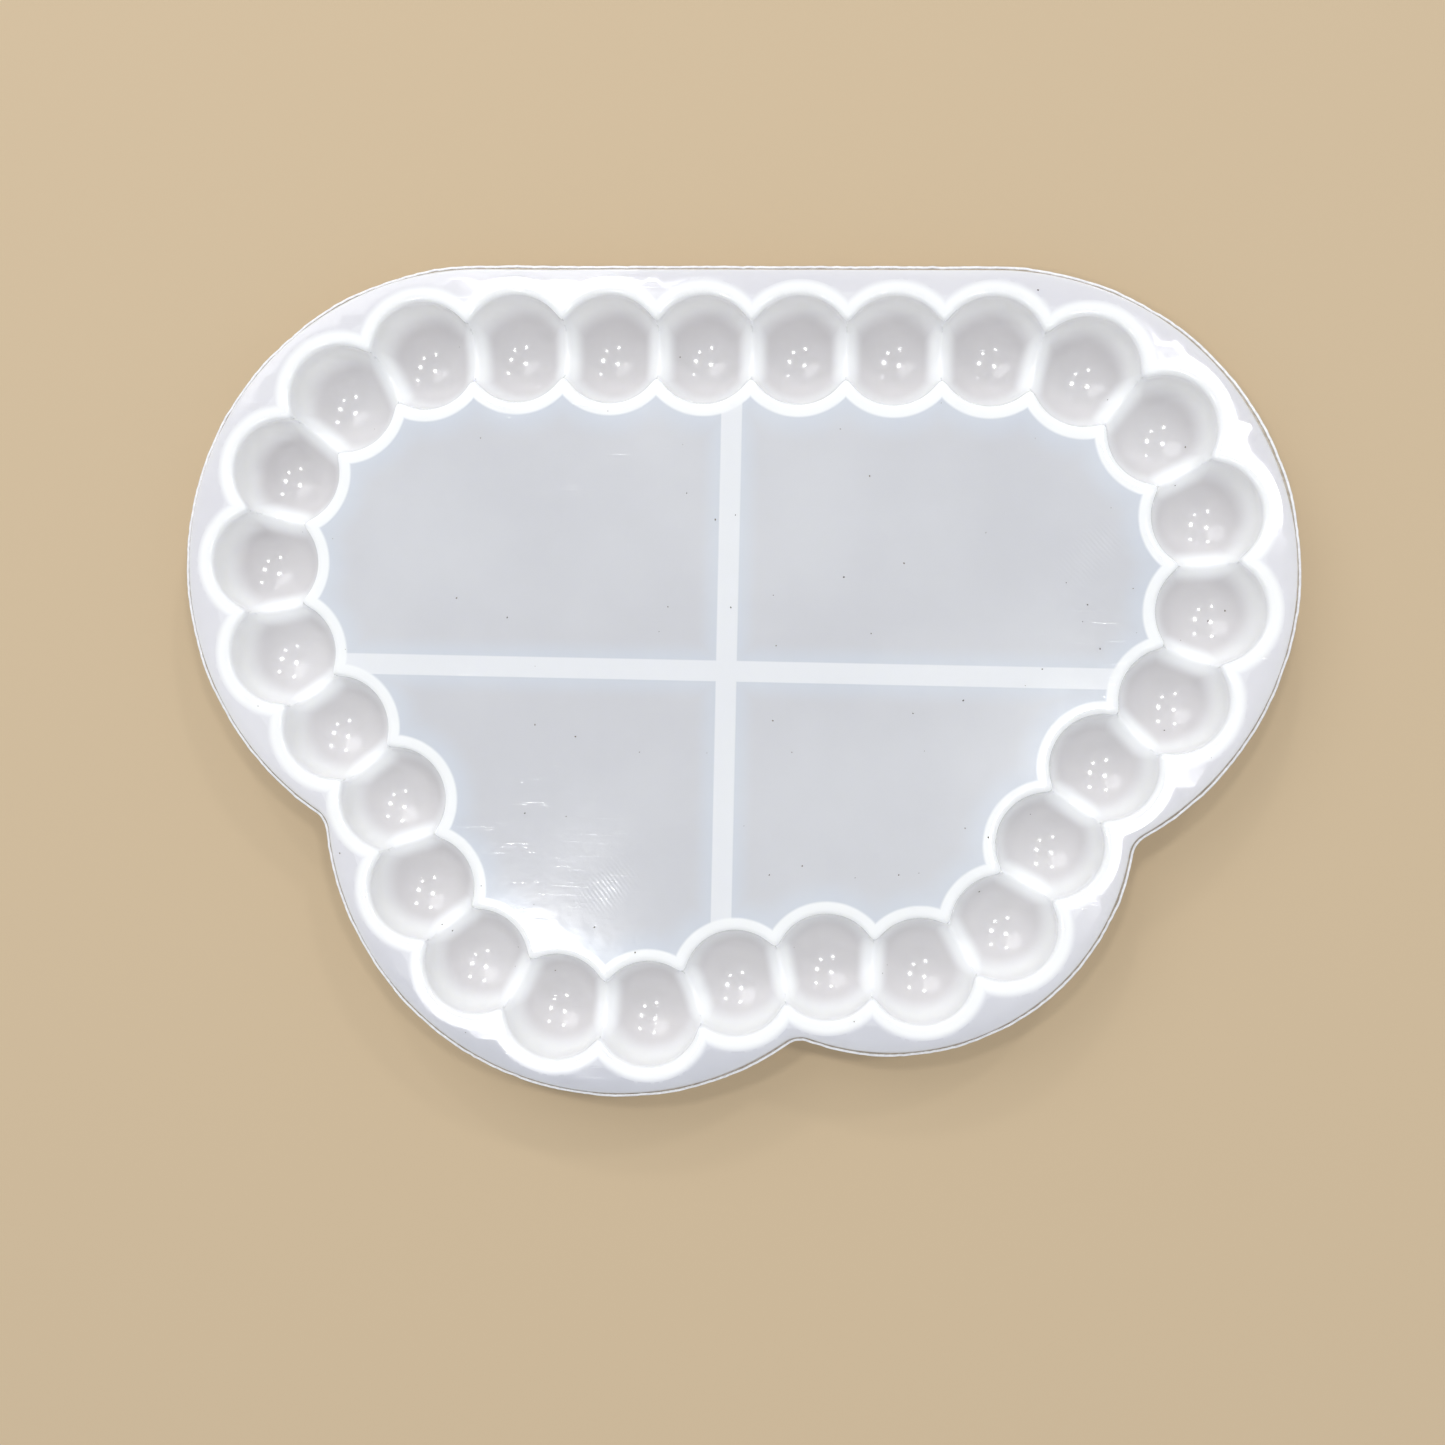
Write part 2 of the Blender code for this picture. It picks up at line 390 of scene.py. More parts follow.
def triangulate(loops: list[np.ndarray], loose: np.ndarray) -> list[tuple[int, ...]]:
    """Fills the space inside the first loop and outside the others with triangles.

    Args:
        loops: Closed lines of plan points.
        loose: Plan points between them.

    Returns:
        Anticlockwise triangles of indices into the loops' points and then the loose ones.
    """
    points = np.vstack([*loops, loose])
    edges = []
    start = 0
    for loop in loops:
        count = len(loop)
        edges += [(start + i, start + (i + 1) % count) for i in range(count)]
        start += count
    scaled = [Vector(p) for p in points / MM]
    _, _, faces, origins, _, _ = delaunay_2d_cdt(scaled, edges, [], 0, SAME_PLACE / MM)
    source = np.array([found[0] for found in origins])
    triangles = source[np.array(faces)]
    kept = triangles[between(points[triangles].mean(axis=1), loops)]
    return [tuple(face) for face in kept.tolist()]


def without_ears(
    triangles: list[tuple[int, ...]], sides: list[range]
) -> list[tuple[int, ...]]:
    """Turns the edge of each triangle that has all its corners on one shared line.

    Two cells would each have that triangle, back to back, so its middle corner is joined to
    the corner across instead.

    Args:
        triangles: Anticlockwise triangles.
        sides: The indices along each shared line.

    Returns:
        The triangles, with none left on a shared line.
    """
    left = set(triangles)
    across = {(t[i], t[i - 2]): t for t in triangles for i in range(3)}
    queue = list(triangles)
    while queue:
        ear = queue.pop()
        if ear not in left or not any(all(i in side for i in ear) for side in sides):
            continue
        middle = sorted(ear)[1]
        at = ear.index(middle)
        start, end = ear[at - 1], ear[at - 2]
        beyond = across[(start, end)]
        far = next(i for i in beyond if i not in (start, end))
        made = [(start, middle, far), (middle, end, far)]
        left -= {ear, beyond}
        left.update(made)
        across.update({(t[i], t[i - 2]): t for t in made for i in range(3)})
        queue += made
    return sorted(left)


@dataclass
class BowlCells:
    """The cells of one face of the moulding: each bowl with a margin of flat round it.

    rows are distances of points from a cell's border, down into the bowl, and rim_rows are
    distances past the rim. The rooms are the least distances between points, as shares of the
    spacing there. Out on the flat, points spread by the power fanning.
    """

    centres: list[Vector]
    centre_height: float
    radius: float
    tray_level: float
    flange_level: float
    reach: float
    spacing: float
    rim_spacing: float
    bow: float = 0.012
    fanning: float = 1.5
    flat_density: float = 1.2
    border_stretch: float = 1.3
    row_room: float = 0.6
    ring_room: float = 0.55
    border_room: float = 0.4
    least_flat_steps: int = 3
    least_sides: int = 6
    least_facing: float = 0.1
    rows: tuple[float, ...] = (0.00035, 0.0008, 0.0014, 0.0021)
    rim_rows: tuple[float, ...] = (
        -0.0022, -0.0014, -0.0009, -0.0005, -0.0002, 0.0001, 0.0004, 0.0008, 0.0013, 0.0019
    )

    def profile(self, half: Half) -> BallProfile:
        """Returns the section on one half of the bowls."""
        level = self.tray_level if half is Half.TRAY else self.flange_level
        return BallProfile(self.centre_height, self.radius, level)

    def shared_line(self, gap: float) -> list[CellPoint]:
        """Lays points along the line half-way to a neighbour, from the tray to the flange.

        Args:
            gap: Distance from the bowl's axis to that line.

        Returns:
            For each point its offset along the line, its length down the section and its half.
        """
        limit = math.sqrt(self.reach ** 2 - gap ** 2)
        ball = math.sqrt(self.radius ** 2 - gap ** 2)
        tray, flange = self.profile(Half.TRAY), self.profile(Half.FLANGE)
        line = []
        near = math.sqrt(tray.rim ** 2 - gap ** 2)
        flat_steps = round(self.flat_density * (limit - near) / self.rim_spacing)
        flat_steps = max(self.least_flat_steps, flat_steps)
        for i in range(flat_steps, 0, -1):
            offset = near + (limit - near) * (i / flat_steps) ** self.fanning
            line.append((-offset, tray.length_to(math.hypot(gap, offset)), Half.TRAY))
        far = math.sqrt(flange.rim ** 2 - gap ** 2)
        first, last = -math.asin(min(near / ball, 1.0)), math.asin(min(far / ball, 1.0))
        steps = round((last - first) * ball / self.rim_spacing)
        for i in range(steps + 1):
            offset = ball * math.sin(first + (last - first) * i / steps)
            half = Half.TRAY if offset < 0.0 else Half.FLANGE
            length = self.radius * math.asin(min(math.hypot(gap, offset) / self.radius, 1.0))
            line.append((offset, length, half))
        wall_steps = round(flange.wall / self.rim_spacing)
        for i in range(wall_steps):
            line.append((far, flange.arc + flange.wall * (i + 1) / wall_steps, Half.FLANGE))
        for i in range(flat_steps):
            offset = far + (limit - far) * ((i + 1) / flat_steps) ** self.fanning
            line.append((offset, flange.length_to(math.hypot(gap, offset)), Half.FLANGE))
        return line

    def turn(self, start: float, end: float, half: Half) -> list[CellPoint]:
        """Lays points along the cell's rim between two directions, both left out.

        Args:
            start: The first direction.
            end: The direction anticlockwise of it.
            half: The half that the rim is on.

        Returns:
            Direction, length down the section and half for each point.
        """
        length = self.profile(half).length_to(self.reach)
        end = turned_on(end, start)
        spacing = self.border_stretch * self.rim_spacing
        count = math.ceil((end - start) * self.reach / spacing)
        return [(start + (end - start) * i / count, length, half) for i in range(1, count)]

    def border(self, index: int) -> tuple[list[CellPoint], list[int]]:
        """Goes round a cell anticlockwise, from its flange corner with the bowl after it.

        Args:
            index: Number of the bowl.

        Returns:
            Direction, length down the section and half for each point, and the four corners.
        """
        centre = self.centres[index]
        loop, corners = [], []
        sides = []
        for step, sign in ((1, 1.0), (-1, -1.0)):
            other = self.centres[(index + step) % len(self.centres)]
            gap = 0.5 * (other - centre).length
            towards = angle_of(other - centre)
            side = []
            for offset, length, half in self.shared_line(gap):
                side.append((towards - sign * math.atan2(offset, gap), length, half))
            sides.append(side)
        after, before = sides[0][::-1], sides[1]
        loop += after
        corners.append(len(loop) - 1)
        loop += self.turn(after[-1][0], before[0][0], Half.TRAY)
        corners.append(len(loop))
        loop += before
        corners.append(len(loop) - 1)
        loop += self.turn(before[-1][0], after[0][0], Half.FLANGE)
        return loop, corners

    def unrolled(self, index: int, cell: list[CellPoint]) -> np.ndarray:
        """Lays a cell out flat, with lengths down the section as distances from the pole.

        Points one above the other on a wall are bowed inwards, so that they stay a corner each.

        Args:
            index: Number of the bowl.
            cell: Direction, length and half for each point.

        Returns:
            The flat places, one a row.
        """
        centre = self.centres[index]
        after = angle_of(self.centres[(index + 1) % len(self.centres)] - centre)
        before = angle_of(self.centres[index - 1] - centre)
        flat = []
        for angle, length, half in cell:
            profile = self.profile(half)
            if profile.arc < length < profile.arc + profile.wall:
                bow = self.bow * math.sin(math.pi * (length - profile.arc) / profile.wall)
                angle += -bow if math.cos(angle - after) > math.cos(angle - before) else bow
            flat.append((length * math.cos(angle), length * math.sin(angle)))
        return np.array(flat)

    def loose(self, index: int, loop: list[CellPoint]) -> list[tuple]:
        """Lays points inside a cell, close together at its ridges and rims.

        Args:
            index: Number of the bowl.
            loop: The cell's border.

        Returns:
            Direction, length down the section and half for each point.
        """
        centre = self.centres[index]
        count = len(self.centres)
        towards = [self.centres[(index + s) % count] - centre for s in (1, -1)]
        headings = [(angle_of(t), 0.5 * t.length) for t in towards]
        start = headings[0][0]
        tray_turn = (headings[1][0] - start) % FULL_TURN
        wanted = []
        close = self.row_room * self.rim_spacing
        for angle, length, half in loop:
            if length < self.profile(half).arc + self.profile(half).wall:
                wanted += [(angle, length - row, half, close) for row in self.rows]
        rings = []
        for half in Half:
            profile = self.profile(half)
            edge = profile.arc + profile.wall
            rings += [(edge + row, half, self.rim_spacing) for row in self.rim_rows]
            stop = edge + self.rim_rows[0]
            steps = round(stop / self.spacing)
            rings += [(stop * (i + 0.5) / steps, half, self.spacing) for i in range(steps)]
        for number, (length, half, spacing) in enumerate(rings):
            distance = self.profile(half).at(length)[0]
            sides = max(self.least_sides, math.ceil(FULL_TURN * distance / spacing))
            for i in range(sides):
                turn = FULL_TURN * (i + 0.5 * (number % 2)) / sides
                mine = Half.TRAY if turn < tray_turn else Half.FLANGE
                if mine is half:
                    wanted.append((start + turn, length, half, self.ring_room * spacing))
        border = self.unrolled(index, loop)
        flat = np.array([(l * math.cos(a), l * math.sin(a)) for a, l, _, _ in wanted])
        allowed = inside(flat, border)
        chosen, kept = [], border
        for (angle, length, half, room), place, ok in zip(wanted, flat, allowed):
            facings = [(math.cos(angle - way), gap) for way, gap in headings]
            walls = [gap / facing for facing, gap in facings if facing > self.least_facing]
            distance = self.profile(half).at(length)[0]
            if not ok or distance > min([*walls, self.reach]) - self.border_room * room:
                continue
            if np.min(((kept - place) ** 2).sum(axis=1)) > room * room:
                kept = np.vstack([kept, place])
                chosen.append((angle, length, half))
        return chosen

    def fill(self, blank: Blank, up: bool) -> tuple[np.ndarray, np.ndarray]:
        """Adds every cell to the blank.

        Args:
            blank: The blank that takes them.
            up: Whether their faces look up.

        Returns:
            The plan line round the cells on the flange's side, and the one on the tray's.
        """
        outer, inner = [], []
        for index, centre in enumerate(self.centres):
            loop, corners = self.border(index)
            cell = loop + self.loose(index, loop)
            flat = self.unrolled(index, cell)
            places, indices = [], []
            for angle, length, half in cell:
                distance, height = self.profile(half).at(length)
                place = centre + distance * Vector((math.cos(angle), math.sin(angle)))
                places.append(place)
                level = self.profile(half).level
                point = (place.x, place.y, max(height, 0.0))
                indices.append(blank.add(point, index, level, self.radius, True))
            triangles = triangulate([flat[:len(loop)]], flat[len(loop):])
            sides = [range(corners[0] + 1), range(corners[1], corners[2] + 1)]
            for face in without_ears(triangles, sides):
                face = face if up else face[::-1]
                blank.faces.append(tuple(indices[i] for i in face))
            tray_side = places[corners[0]:corners[1] + 1]
            inner += tray_side[::-1][:-1]
            outer += places[corners[2]:len(loop)]
        return np.array(outer), np.array(inner)


class Wiring:
    """Builds one node tree, with short calls for what the trees here use."""

    def __init__(self, tree: bpy.types.NodeTree) -> None:
        """Takes the tree to build in."""
        self.tree = tree

    def node(self, kind: str, **settings: object) -> bpy.types.Node:
        """Adds a node and sets its properties.

        Args:
            kind: The node's type.
            **settings: Value of each property.

        Returns:
            The node.
        """
        made = self.tree.nodes.new(kind)
        for name, value in settings.items():
            setattr(made, name, value)
        return made

    def feed(self, socket: Socket, value: object) -> None:
        """Links a socket's source, or sets its value.

        Args:
            socket: The input.
            value: An output to link, or a constant.
        """
        if isinstance(value, Socket):
            self.tree.links.new(value, socket)
        else:
            socket.default_value = value

    def run(
        self, kind: str, feeds: dict, result: int | str = 0, **settings: object
    ) -> Socket:
        """Adds a node and feeds it.

        Args:
            kind: The node's type.
            feeds: Value or source of each input, by name or number.
            result: Name or number of the output that is wanted.
            **settings: Value of each property.

        Returns:
            That output.
        """
        made = self.node(kind, **settings)
        for key, value in feeds.items():
            self.feed(made.inputs[key], value)
        return made.outputs[result]

    def math(self, operation: str, *values: object) -> Socket:
        """Adds a Math node and returns its result."""
        return self.run("ShaderNodeMath", dict(enumerate(values)), operation=operation)

    def plus(self, first: object, second: object) -> Socket:
        """Adds two numbers."""
        return self.math("ADD", first, second)

    def minus(self, first: object, second: object) -> Socket:
        """Takes the second number from the first."""
        return self.math("SUBTRACT", first, second)

    def times(self, first: object, second: object) -> Socket:
        """Multiplies two numbers."""
        return self.math("MULTIPLY", first, second)

    def over(self, first: object, second: object) -> Socket:
        """Divides the first number by the second."""
        return self.math("DIVIDE", first, second)

    def vector(self, operation: str, *values: object) -> Socket:
        """Adds a Vector Math node and returns its vector."""
        return self.run("ShaderNodeVectorMath", dict(enumerate(values)), operation=operation)

    def scalar(self, operation: str, *values: object) -> Socket:
        """Adds a Vector Math node and returns its number."""
        feeds = dict(enumerate(values))
        return self.run("ShaderNodeVectorMath", feeds, "Value", operation=operation)

    def parts(self, vector: object) -> list[Socket]:
        """Splits a vector.

        Args:
            vector: The vector.

        Returns:
            Its three numbers.
        """
        made = self.node("ShaderNodeSeparateXYZ")
        self.feed(made.inputs[0], vector)
        return list(made.outputs)

    def joined(self, x: object, y: object, z: object) -> Socket:
        """Makes a vector of three numbers."""
        return self.run("ShaderNodeCombineXYZ", {0: x, 1: y, 2: z})

    def scaled(self, vector: object, factor: object) -> Socket:
        """Multiplies a vector by a number.

        Args:
            vector: The vector.
            factor: The number.

        Returns:
            The longer or shorter vector.
        """
        feeds = {0: vector, "Scale": factor}
        return self.run("ShaderNodeVectorMath", feeds, operation="SCALE")

    def noise(
        self, place: object, scale: float, detail: float, seed: Socket | None = None
    ) -> Socket:
        """Adds a noise.

        Args:
            place: Where it is read.
            scale: Its scale.
            detail: Its detail.
            seed: Its fourth coordinate, if it has one.

        Returns:
            Its value, from 0 to 1.
        """
        feeds = {"Vector": place, "Scale": scale, "Detail": detail}
        if seed is None:
            return self.run("ShaderNodeTexNoise", feeds)
        return self.run("ShaderNodeTexNoise", {**feeds, "W": seed}, noise_dimensions="4D")


class ShaderWiring(Wiring):
    """Wiring for materials."""

    def attribute(self, name: str) -> Socket:
        """Returns a number that the mesh keeps on its points."""
        return self.run("ShaderNodeAttribute", {}, "Fac", attribute_name=name)

    def fade(
        self, value: object, start: float, end: float, low: float = 0.0, high: float = 1.0
    ) -> Socket:
        """Goes smoothly from low to high as a value goes from start to end.

        Args:
            value: The value.
            start: Where the change starts.
            end: Where it ends.
            low: Result up to the start.
            high: Result past the end.

        Returns:
            The result's socket.
        """
        made = self.node("ShaderNodeMapRange", interpolation_type="SMOOTHSTEP")
        for key, number in enumerate((value, start, end, low, high)):
            self.feed(made.inputs[key], number)
        return made.outputs[0]

    def fade_out(self, value: object, start: float, end: float) -> Socket:
        """Goes smoothly from 1 to 0 as a value goes from start to end."""
        return self.fade(value, start, end, 1.0, 0.0)

    def mix(self, share: object, first: object, second: object) -> Socket:
        """Mixes two colours.

        Args:
            share: How much there is of the second, from 0 to 1.
            first: The first colour.
            second: The second colour.

        Returns:
            The mixed colour.
        """
        made = self.node("ShaderNodeMix", data_type="RGBA")
        self.feed(made.inputs[0], share)
        self.feed(made.inputs[6], first)
        self.feed(made.inputs[7], second)
        return made.outputs[2]


class GeometryTree(Wiring):
    """A Geometry Nodes tree with named inputs, ended the way every tree here ends."""

    SOCKETS = {
        float: "NodeSocketFloat",
        int: "NodeSocketInt",
        bpy.types.Object: "NodeSocketObject",
        bpy.types.Material: "NodeSocketMaterial",
    }

    def __init__(self, name: str, inputs: dict[str, object]) -> None:
        """Makes the tree and its interface.

        Args:
            name: Name of the tree.
            inputs: Value of each named input.
        """
        super().__init__(bpy.data.node_groups.new(name, "GeometryNodeTree"))
        self.values = inputs
        face = self.tree.interface
        face.new_socket("Geometry", in_out="INPUT", socket_type="NodeSocketGeometry")
        for title, value in inputs.items():
            kind = next(k for t, k in self.SOCKETS.items() if isinstance(value, t))
            face.new_socket(title, in_out="INPUT", socket_type=kind)
        face.new_socket("Geometry", in_out="OUTPUT", socket_type="NodeSocketGeometry")
        self.source = self.node("NodeGroupInput")

    def given(self, title: str) -> Socket:
        """Returns a named input."""
        return self.source.outputs[title]

    def attribute(self, name: str, kind: str) -> Socket:
        """Returns a named attribute of the geometry."""
        return self.run("GeometryNodeInputNamedAttribute", {"Name": name}, data_type=kind)

    def store(self, geometry: object, name: str, value: object) -> Socket:
        """Keeps a number on every point under a name.

        Args:
            geometry: The geometry.
            name: Name of the attribute.
            value: The number.

        Returns:
            The geometry with the attribute.
        """
        made = self.node("GeometryNodeStoreNamedAttribute", data_type="FLOAT", domain="POINT")
        self.feed(made.inputs["Geometry"], geometry)
        self.feed(made.inputs["Name"], name)
        self.feed(made.inputs["Value"], value)
        return made.outputs[0]

    def end(self, geometry: Socket) -> None:
        """Shades smooth, realizes the instances, sets the material and closes the tree.

        Args:
            geometry: What the tree has made.
        """
        smooth = self.run("GeometryNodeSetShadeSmooth", {"Geometry": geometry})
        real = self.run("GeometryNodeRealizeInstances", {"Geometry": smooth})
        dressed = self.run(
            "GeometryNodeSetMaterial", {"Geometry": real, "Material": self.given("Material")}
        )
        self.tree.links.new(dressed, self.node("NodeGroupOutput").inputs[0])

    def apply(self, name: str, mesh: bpy.types.Mesh) -> bpy.types.Object:
        """Runs the tree on a mesh and returns the result as a plain object.

        Args:
            name: Name of the finished piece.
            mesh: The mesh that goes in.

        Returns:
            The finished piece, at the origin, with no modifier.
        """
        holder = link(bpy.data.objects.new(name + "_blank", mesh))
        modifier = holder.modifiers.new("Press", "NODES")
        modifier.node_group = self.tree
        for item in self.tree.interface.items_tree:
            if item.in_out == "INPUT" and item.name in self.values:
                modifier[item.identifier] = self.values[item.name]
        graph = bpy.context.evaluated_depsgraph_get()
        made = bpy.data.meshes.new_from_object(
            holder.evaluated_get(graph), preserve_all_data_layers=True, depsgraph=graph
        )
        made.name = name
        bpy.data.objects.remove(holder)
        return link(bpy.data.objects.new(name, made))


def link(obj: bpy.types.Object) -> bpy.types.Object:
    """Puts an object in the scene and returns it."""
    bpy.context.scene.collection.objects.link(obj)
    return obj


@dataclass(frozen=True)
class Dip:
    """A shallow hollow where the soft sheet sags: its place, spread and depth."""

    x: float
    y: float
    spread: float
    depth: float


DIPS = (
    Dip(-0.0345, 0.0800, 0.0070, 0.00056),
    Dip(0.0960, 0.0480, 0.0110, 0.00085),
)


@dataclass
class MouldSkin:
    """The moulding's skin: bowls, tray, flange and their undersides in one closed surface.

    It stops short of the plan's edge by lip, which leaves room for the thin lip there.
    The bowls have the exact normals of their balls up to exact_radius less exact_fade from
    their axes, and from ridge_gap plus ridge_fade past their ridges, all in millimetres.
    """

    plan: CloudPlan
    centres: list[Vector]
    height: float
    bowl: float = 0.0095
    wall: float = 0.0024
    tray_depth: float = 0.0020
    floor: float = 0.0018
    flange: float = 0.0020
    edge_round: float = 0.0004
    lip: float = 0.0009
    lip_rise: float = 0.0005
    ridge_softness: float = 0.0026
    rim_softness: float = 0.0011
    foot_softness: float = 0.0008
    sag: float = 0.00025
    sag_scale: float = 28.0
    exact_radius: float = 8.3
    exact_fade: float = 1.3
    ridge_gap: float = 3.0
    ridge_fade: float = 1.5
    reach: float = 0.0122
    grid: float = 0.0026
    weld: float = 2e-6
    press_steps: int = 10
    probe: float = 0.01 * MM
    least_slope: float = 0.05
    stride: float = 0.8

    @property
    def floor_top(self) -> float:
        """Height of the tray's floor, which is also the height of the balls' centres."""
        return self.height - self.tray_depth

    def cells(self, skin: Skin) -> BowlCells:
        """Lays out the cells of one face.

        Args:
            skin: The face.

        Returns:
            Its cells, closer together on the top.
        """
        if skin is Skin.TOP:
            return BowlCells(
                self.centres, self.floor_top, self.bowl, self.floor_top, self.height,
                self.reach, spacing=0.00105, rim_spacing=0.0006,
            )
        return BowlCells(
            self.centres, self.floor_top, self.bowl + self.wall,
            self.floor_top - self.floor, self.height - self.flange,
            self.reach, spacing=0.0016, rim_spacing=0.0010,
            rows=(0.0006, 0.0014, 0.0024), rim_rows=(-0.0018, -0.0008, 0.0),
        )

    def flat(self, blank: Blank, skin: Skin, half: Half, loops: list[np.ndarray]) -> None:
        """Fills one flat between the cells and its outer line.

        Args:
            blank: The blank that takes it.
            skin: Which face of the moulding it is on.
            half: Whether it is the tray's floor or the flange.
            loops: Its outer line, then the line inside it if there is one.
        """
        cells = self.cells(skin)
        level = cells.profile(half).level
        low, high = loops[0].min(axis=0), loops[0].max(axis=0)
        rows = np.arange(low[1], high[1], self.grid * TRIANGLE_HEIGHT)
        loose = []
        for number, y in enumerate(rows):
            xs = np.arange(low[0] + 0.5 * self.grid * (number % 2), high[0], self.grid)
            loose += [(x, y) for x in xs]
        loose = np.array(loose)
        loose = loose[between(loose, loops)]
        border = np.vstack(loops)
        away = np.array([np.min(((border - p) ** 2).sum(axis=1)) for p in loose])
        loose = loose[away > (0.5 * self.grid) ** 2]
        points = np.vstack([border, loose])
        axes = np.array([c[:] for c in self.centres])
        nearest = ((points[:, None] - axes[None]) ** 2).sum(axis=2).argmin(axis=1)
        indices = [
            blank.add((x, y, level), int(cup), level, cells.radius, True)
            for (x, y), cup in zip(points, nearest)
        ]
        for face in triangulate(loops, loose):
            face = face if skin is Skin.TOP else face[::-1]
            blank.faces.append(tuple(indices[i] for i in face))

    def rounded_edge(self, blank: Blank, rows: int = 8) -> None:
        """Adds the rounded edge of the flange, between its two flats.

        Args:
            blank: The blank that takes it.
            rows: How many rows of faces it has.
        """
        half = 0.5 * self.flange
        loops = []
        for row in range(rows + 1):
            turn = math.pi * row / rows
            inset = self.lip + self.edge_round * (1.0 - math.sin(turn))
            height = self.height - half + half * math.cos(turn)
            held = row not in (0, rows)
            loops.append([
                blank.add((*p, height), 0, height, 0.0, not held) for p in self.plan.edge(inset)
            ])
        for upper, lower in zip(loops, loops[1:]):
            count = len(upper)
            for i in range(count):
                after = (i + 1) % count
                blank.faces.append((upper[i], lower[i], lower[after], upper[after]))

    def blank(self) -> bpy.types.Mesh:
        """Lays out the whole blank.

        Returns:
            The blank's mesh.
        """
        blank = Blank()
        edge = np.array([p[:] for p in self.plan.edge(self.lip + self.edge_round)])
        for skin in Skin:
            outer, inner = self.cells(skin).fill(blank, skin is Skin.TOP)
            self.flat(blank, skin, Half.FLANGE, [edge, outer])
            self.flat(blank, skin, Half.TRAY, [inner])
        self.rounded_edge(blank)
        return blank.mesh("mould_blank", self.weld)

    def axes(self) -> bpy.types.Object:
        """Makes a point at each ball's centre.

        Returns:
            An object with the points, the last one ahead of them and the first one after.
        """
        ring = [self.centres[-1], *self.centres, self.centres[0]]
        mesh = bpy.data.meshes.new("ball_centres")
        mesh.from_pydata([(*c, self.floor_top) for c in ring], [], [])
        return link(bpy.data.objects.new("ball_centres", mesh))

    @staticmethod
    def distance_group() -> bpy.types.NodeTree:
        """Builds the group that measures how far a point is from the smooth surface.

        Returns:
            The group, whose distance is negative above the surface.
        """
        tree = bpy.data.node_groups.new("Distance to the surface", "GeometryNodeTree")
        wiring = Wiring(tree)
        for title in ("Point", "Here", "Before", "After"):
            tree.interface.new_socket(title, in_out="INPUT", socket_type="NodeSocketVector")
        for title in ("Ball", "Level", "Ridge", "Rim", "Foot"):
            tree.interface.new_socket(title, in_out="INPUT", socket_type="NodeSocketFloat")
        tree.interface.new_socket("Distance", in_out="OUTPUT", socket_type="NodeSocketFloat")
        given = wiring.node("NodeGroupInput").outputs
        height = wiring.parts(given["Point"])[2]
        hollows = []
        for title in ("Here", "Before", "After"):
            x, y, z = wiring.parts(wiring.vector("SUBTRACT", given["Point"], given[title]))
            reach = wiring.scalar("LENGTH", wiring.joined(x, y, wiring.math("MINIMUM", z, 0.0)))
            hollows.append(wiring.minus(reach, given["Ball"]))
        row = wiring.math("SMOOTH_MIN", hollows[0], hollows[1], given["Ridge"])
        row = wiring.math("SMOOTH_MIN", row, hollows[2], given["Ridge"])
        flat = wiring.minus(given["Level"], height)
        surface = wiring.math("SMOOTH_MIN", row, flat, given["Rim"])
        foot = wiring.times(height, -1.0)
        surface = wiring.math("SMOOTH_MAX", surface, foot, given["Foot"])
        wiring.feed(wiring.node("NodeGroupOutput").inputs[0], surface)
        return tree

    @staticmethod
    def near_balls(tree: GeometryTree, position: Socket) -> dict[str, Socket]:
        """Looks up the balls that shape each point.

        Args:
            tree: The tree.
            position: The places of the points that are sampled.

        Returns:
            The centres of the point's own ball, the one before it and the one after it.
        """
        centres = tree.given("Ball centres")
        ring = tree.run("GeometryNodeObjectInfo", {"Object": centres}, "Geometry")
        cup = tree.attribute("cup", "INT")
        near = {}
        for shift, title in enumerate(("Before", "Here", "After")):
            sample = tree.node("GeometryNodeSampleIndex", data_type="FLOAT_VECTOR")
            tree.feed(sample.inputs["Geometry"], ring)
            tree.feed(sample.inputs["Value"], position)
            tree.feed(sample.inputs["Index"], tree.plus(cup, shift + 0.5))
            near[title] = sample.outputs[0]
        return near

    def pressed(self, tree: GeometryTree, position: Socket, near: dict[str, Socket]) -> Socket:
        """Moves each point on to the smooth surface, a little nearer at every step.

        Args:
            tree: The tree.
            position: The points' places.
            near: The centres of the balls that shape each point.

        Returns:
            The pressed geometry.
        """
        group = self.distance_group()

        def distance(point: Socket) -> Socket:
            """Measures how far one point is from the smooth surface.

            Args:
                point: The point.

            Returns:
                The distance, which is negative above the surface.
            """
            made = tree.node("GeometryNodeGroup", node_tree=group)
            tree.feed(made.inputs["Point"], point)
            for title, centre in near.items():
                tree.feed(made.inputs[title], centre)
            tree.feed(made.inputs["Ball"], tree.attribute("ball", "FLOAT"))
            tree.feed(made.inputs["Level"], tree.attribute("level", "FLOAT"))
            for title in ("Ridge", "Rim", "Foot"):
                tree.feed(made.inputs[title], tree.given(title + " softness"))
            return made.outputs[0]

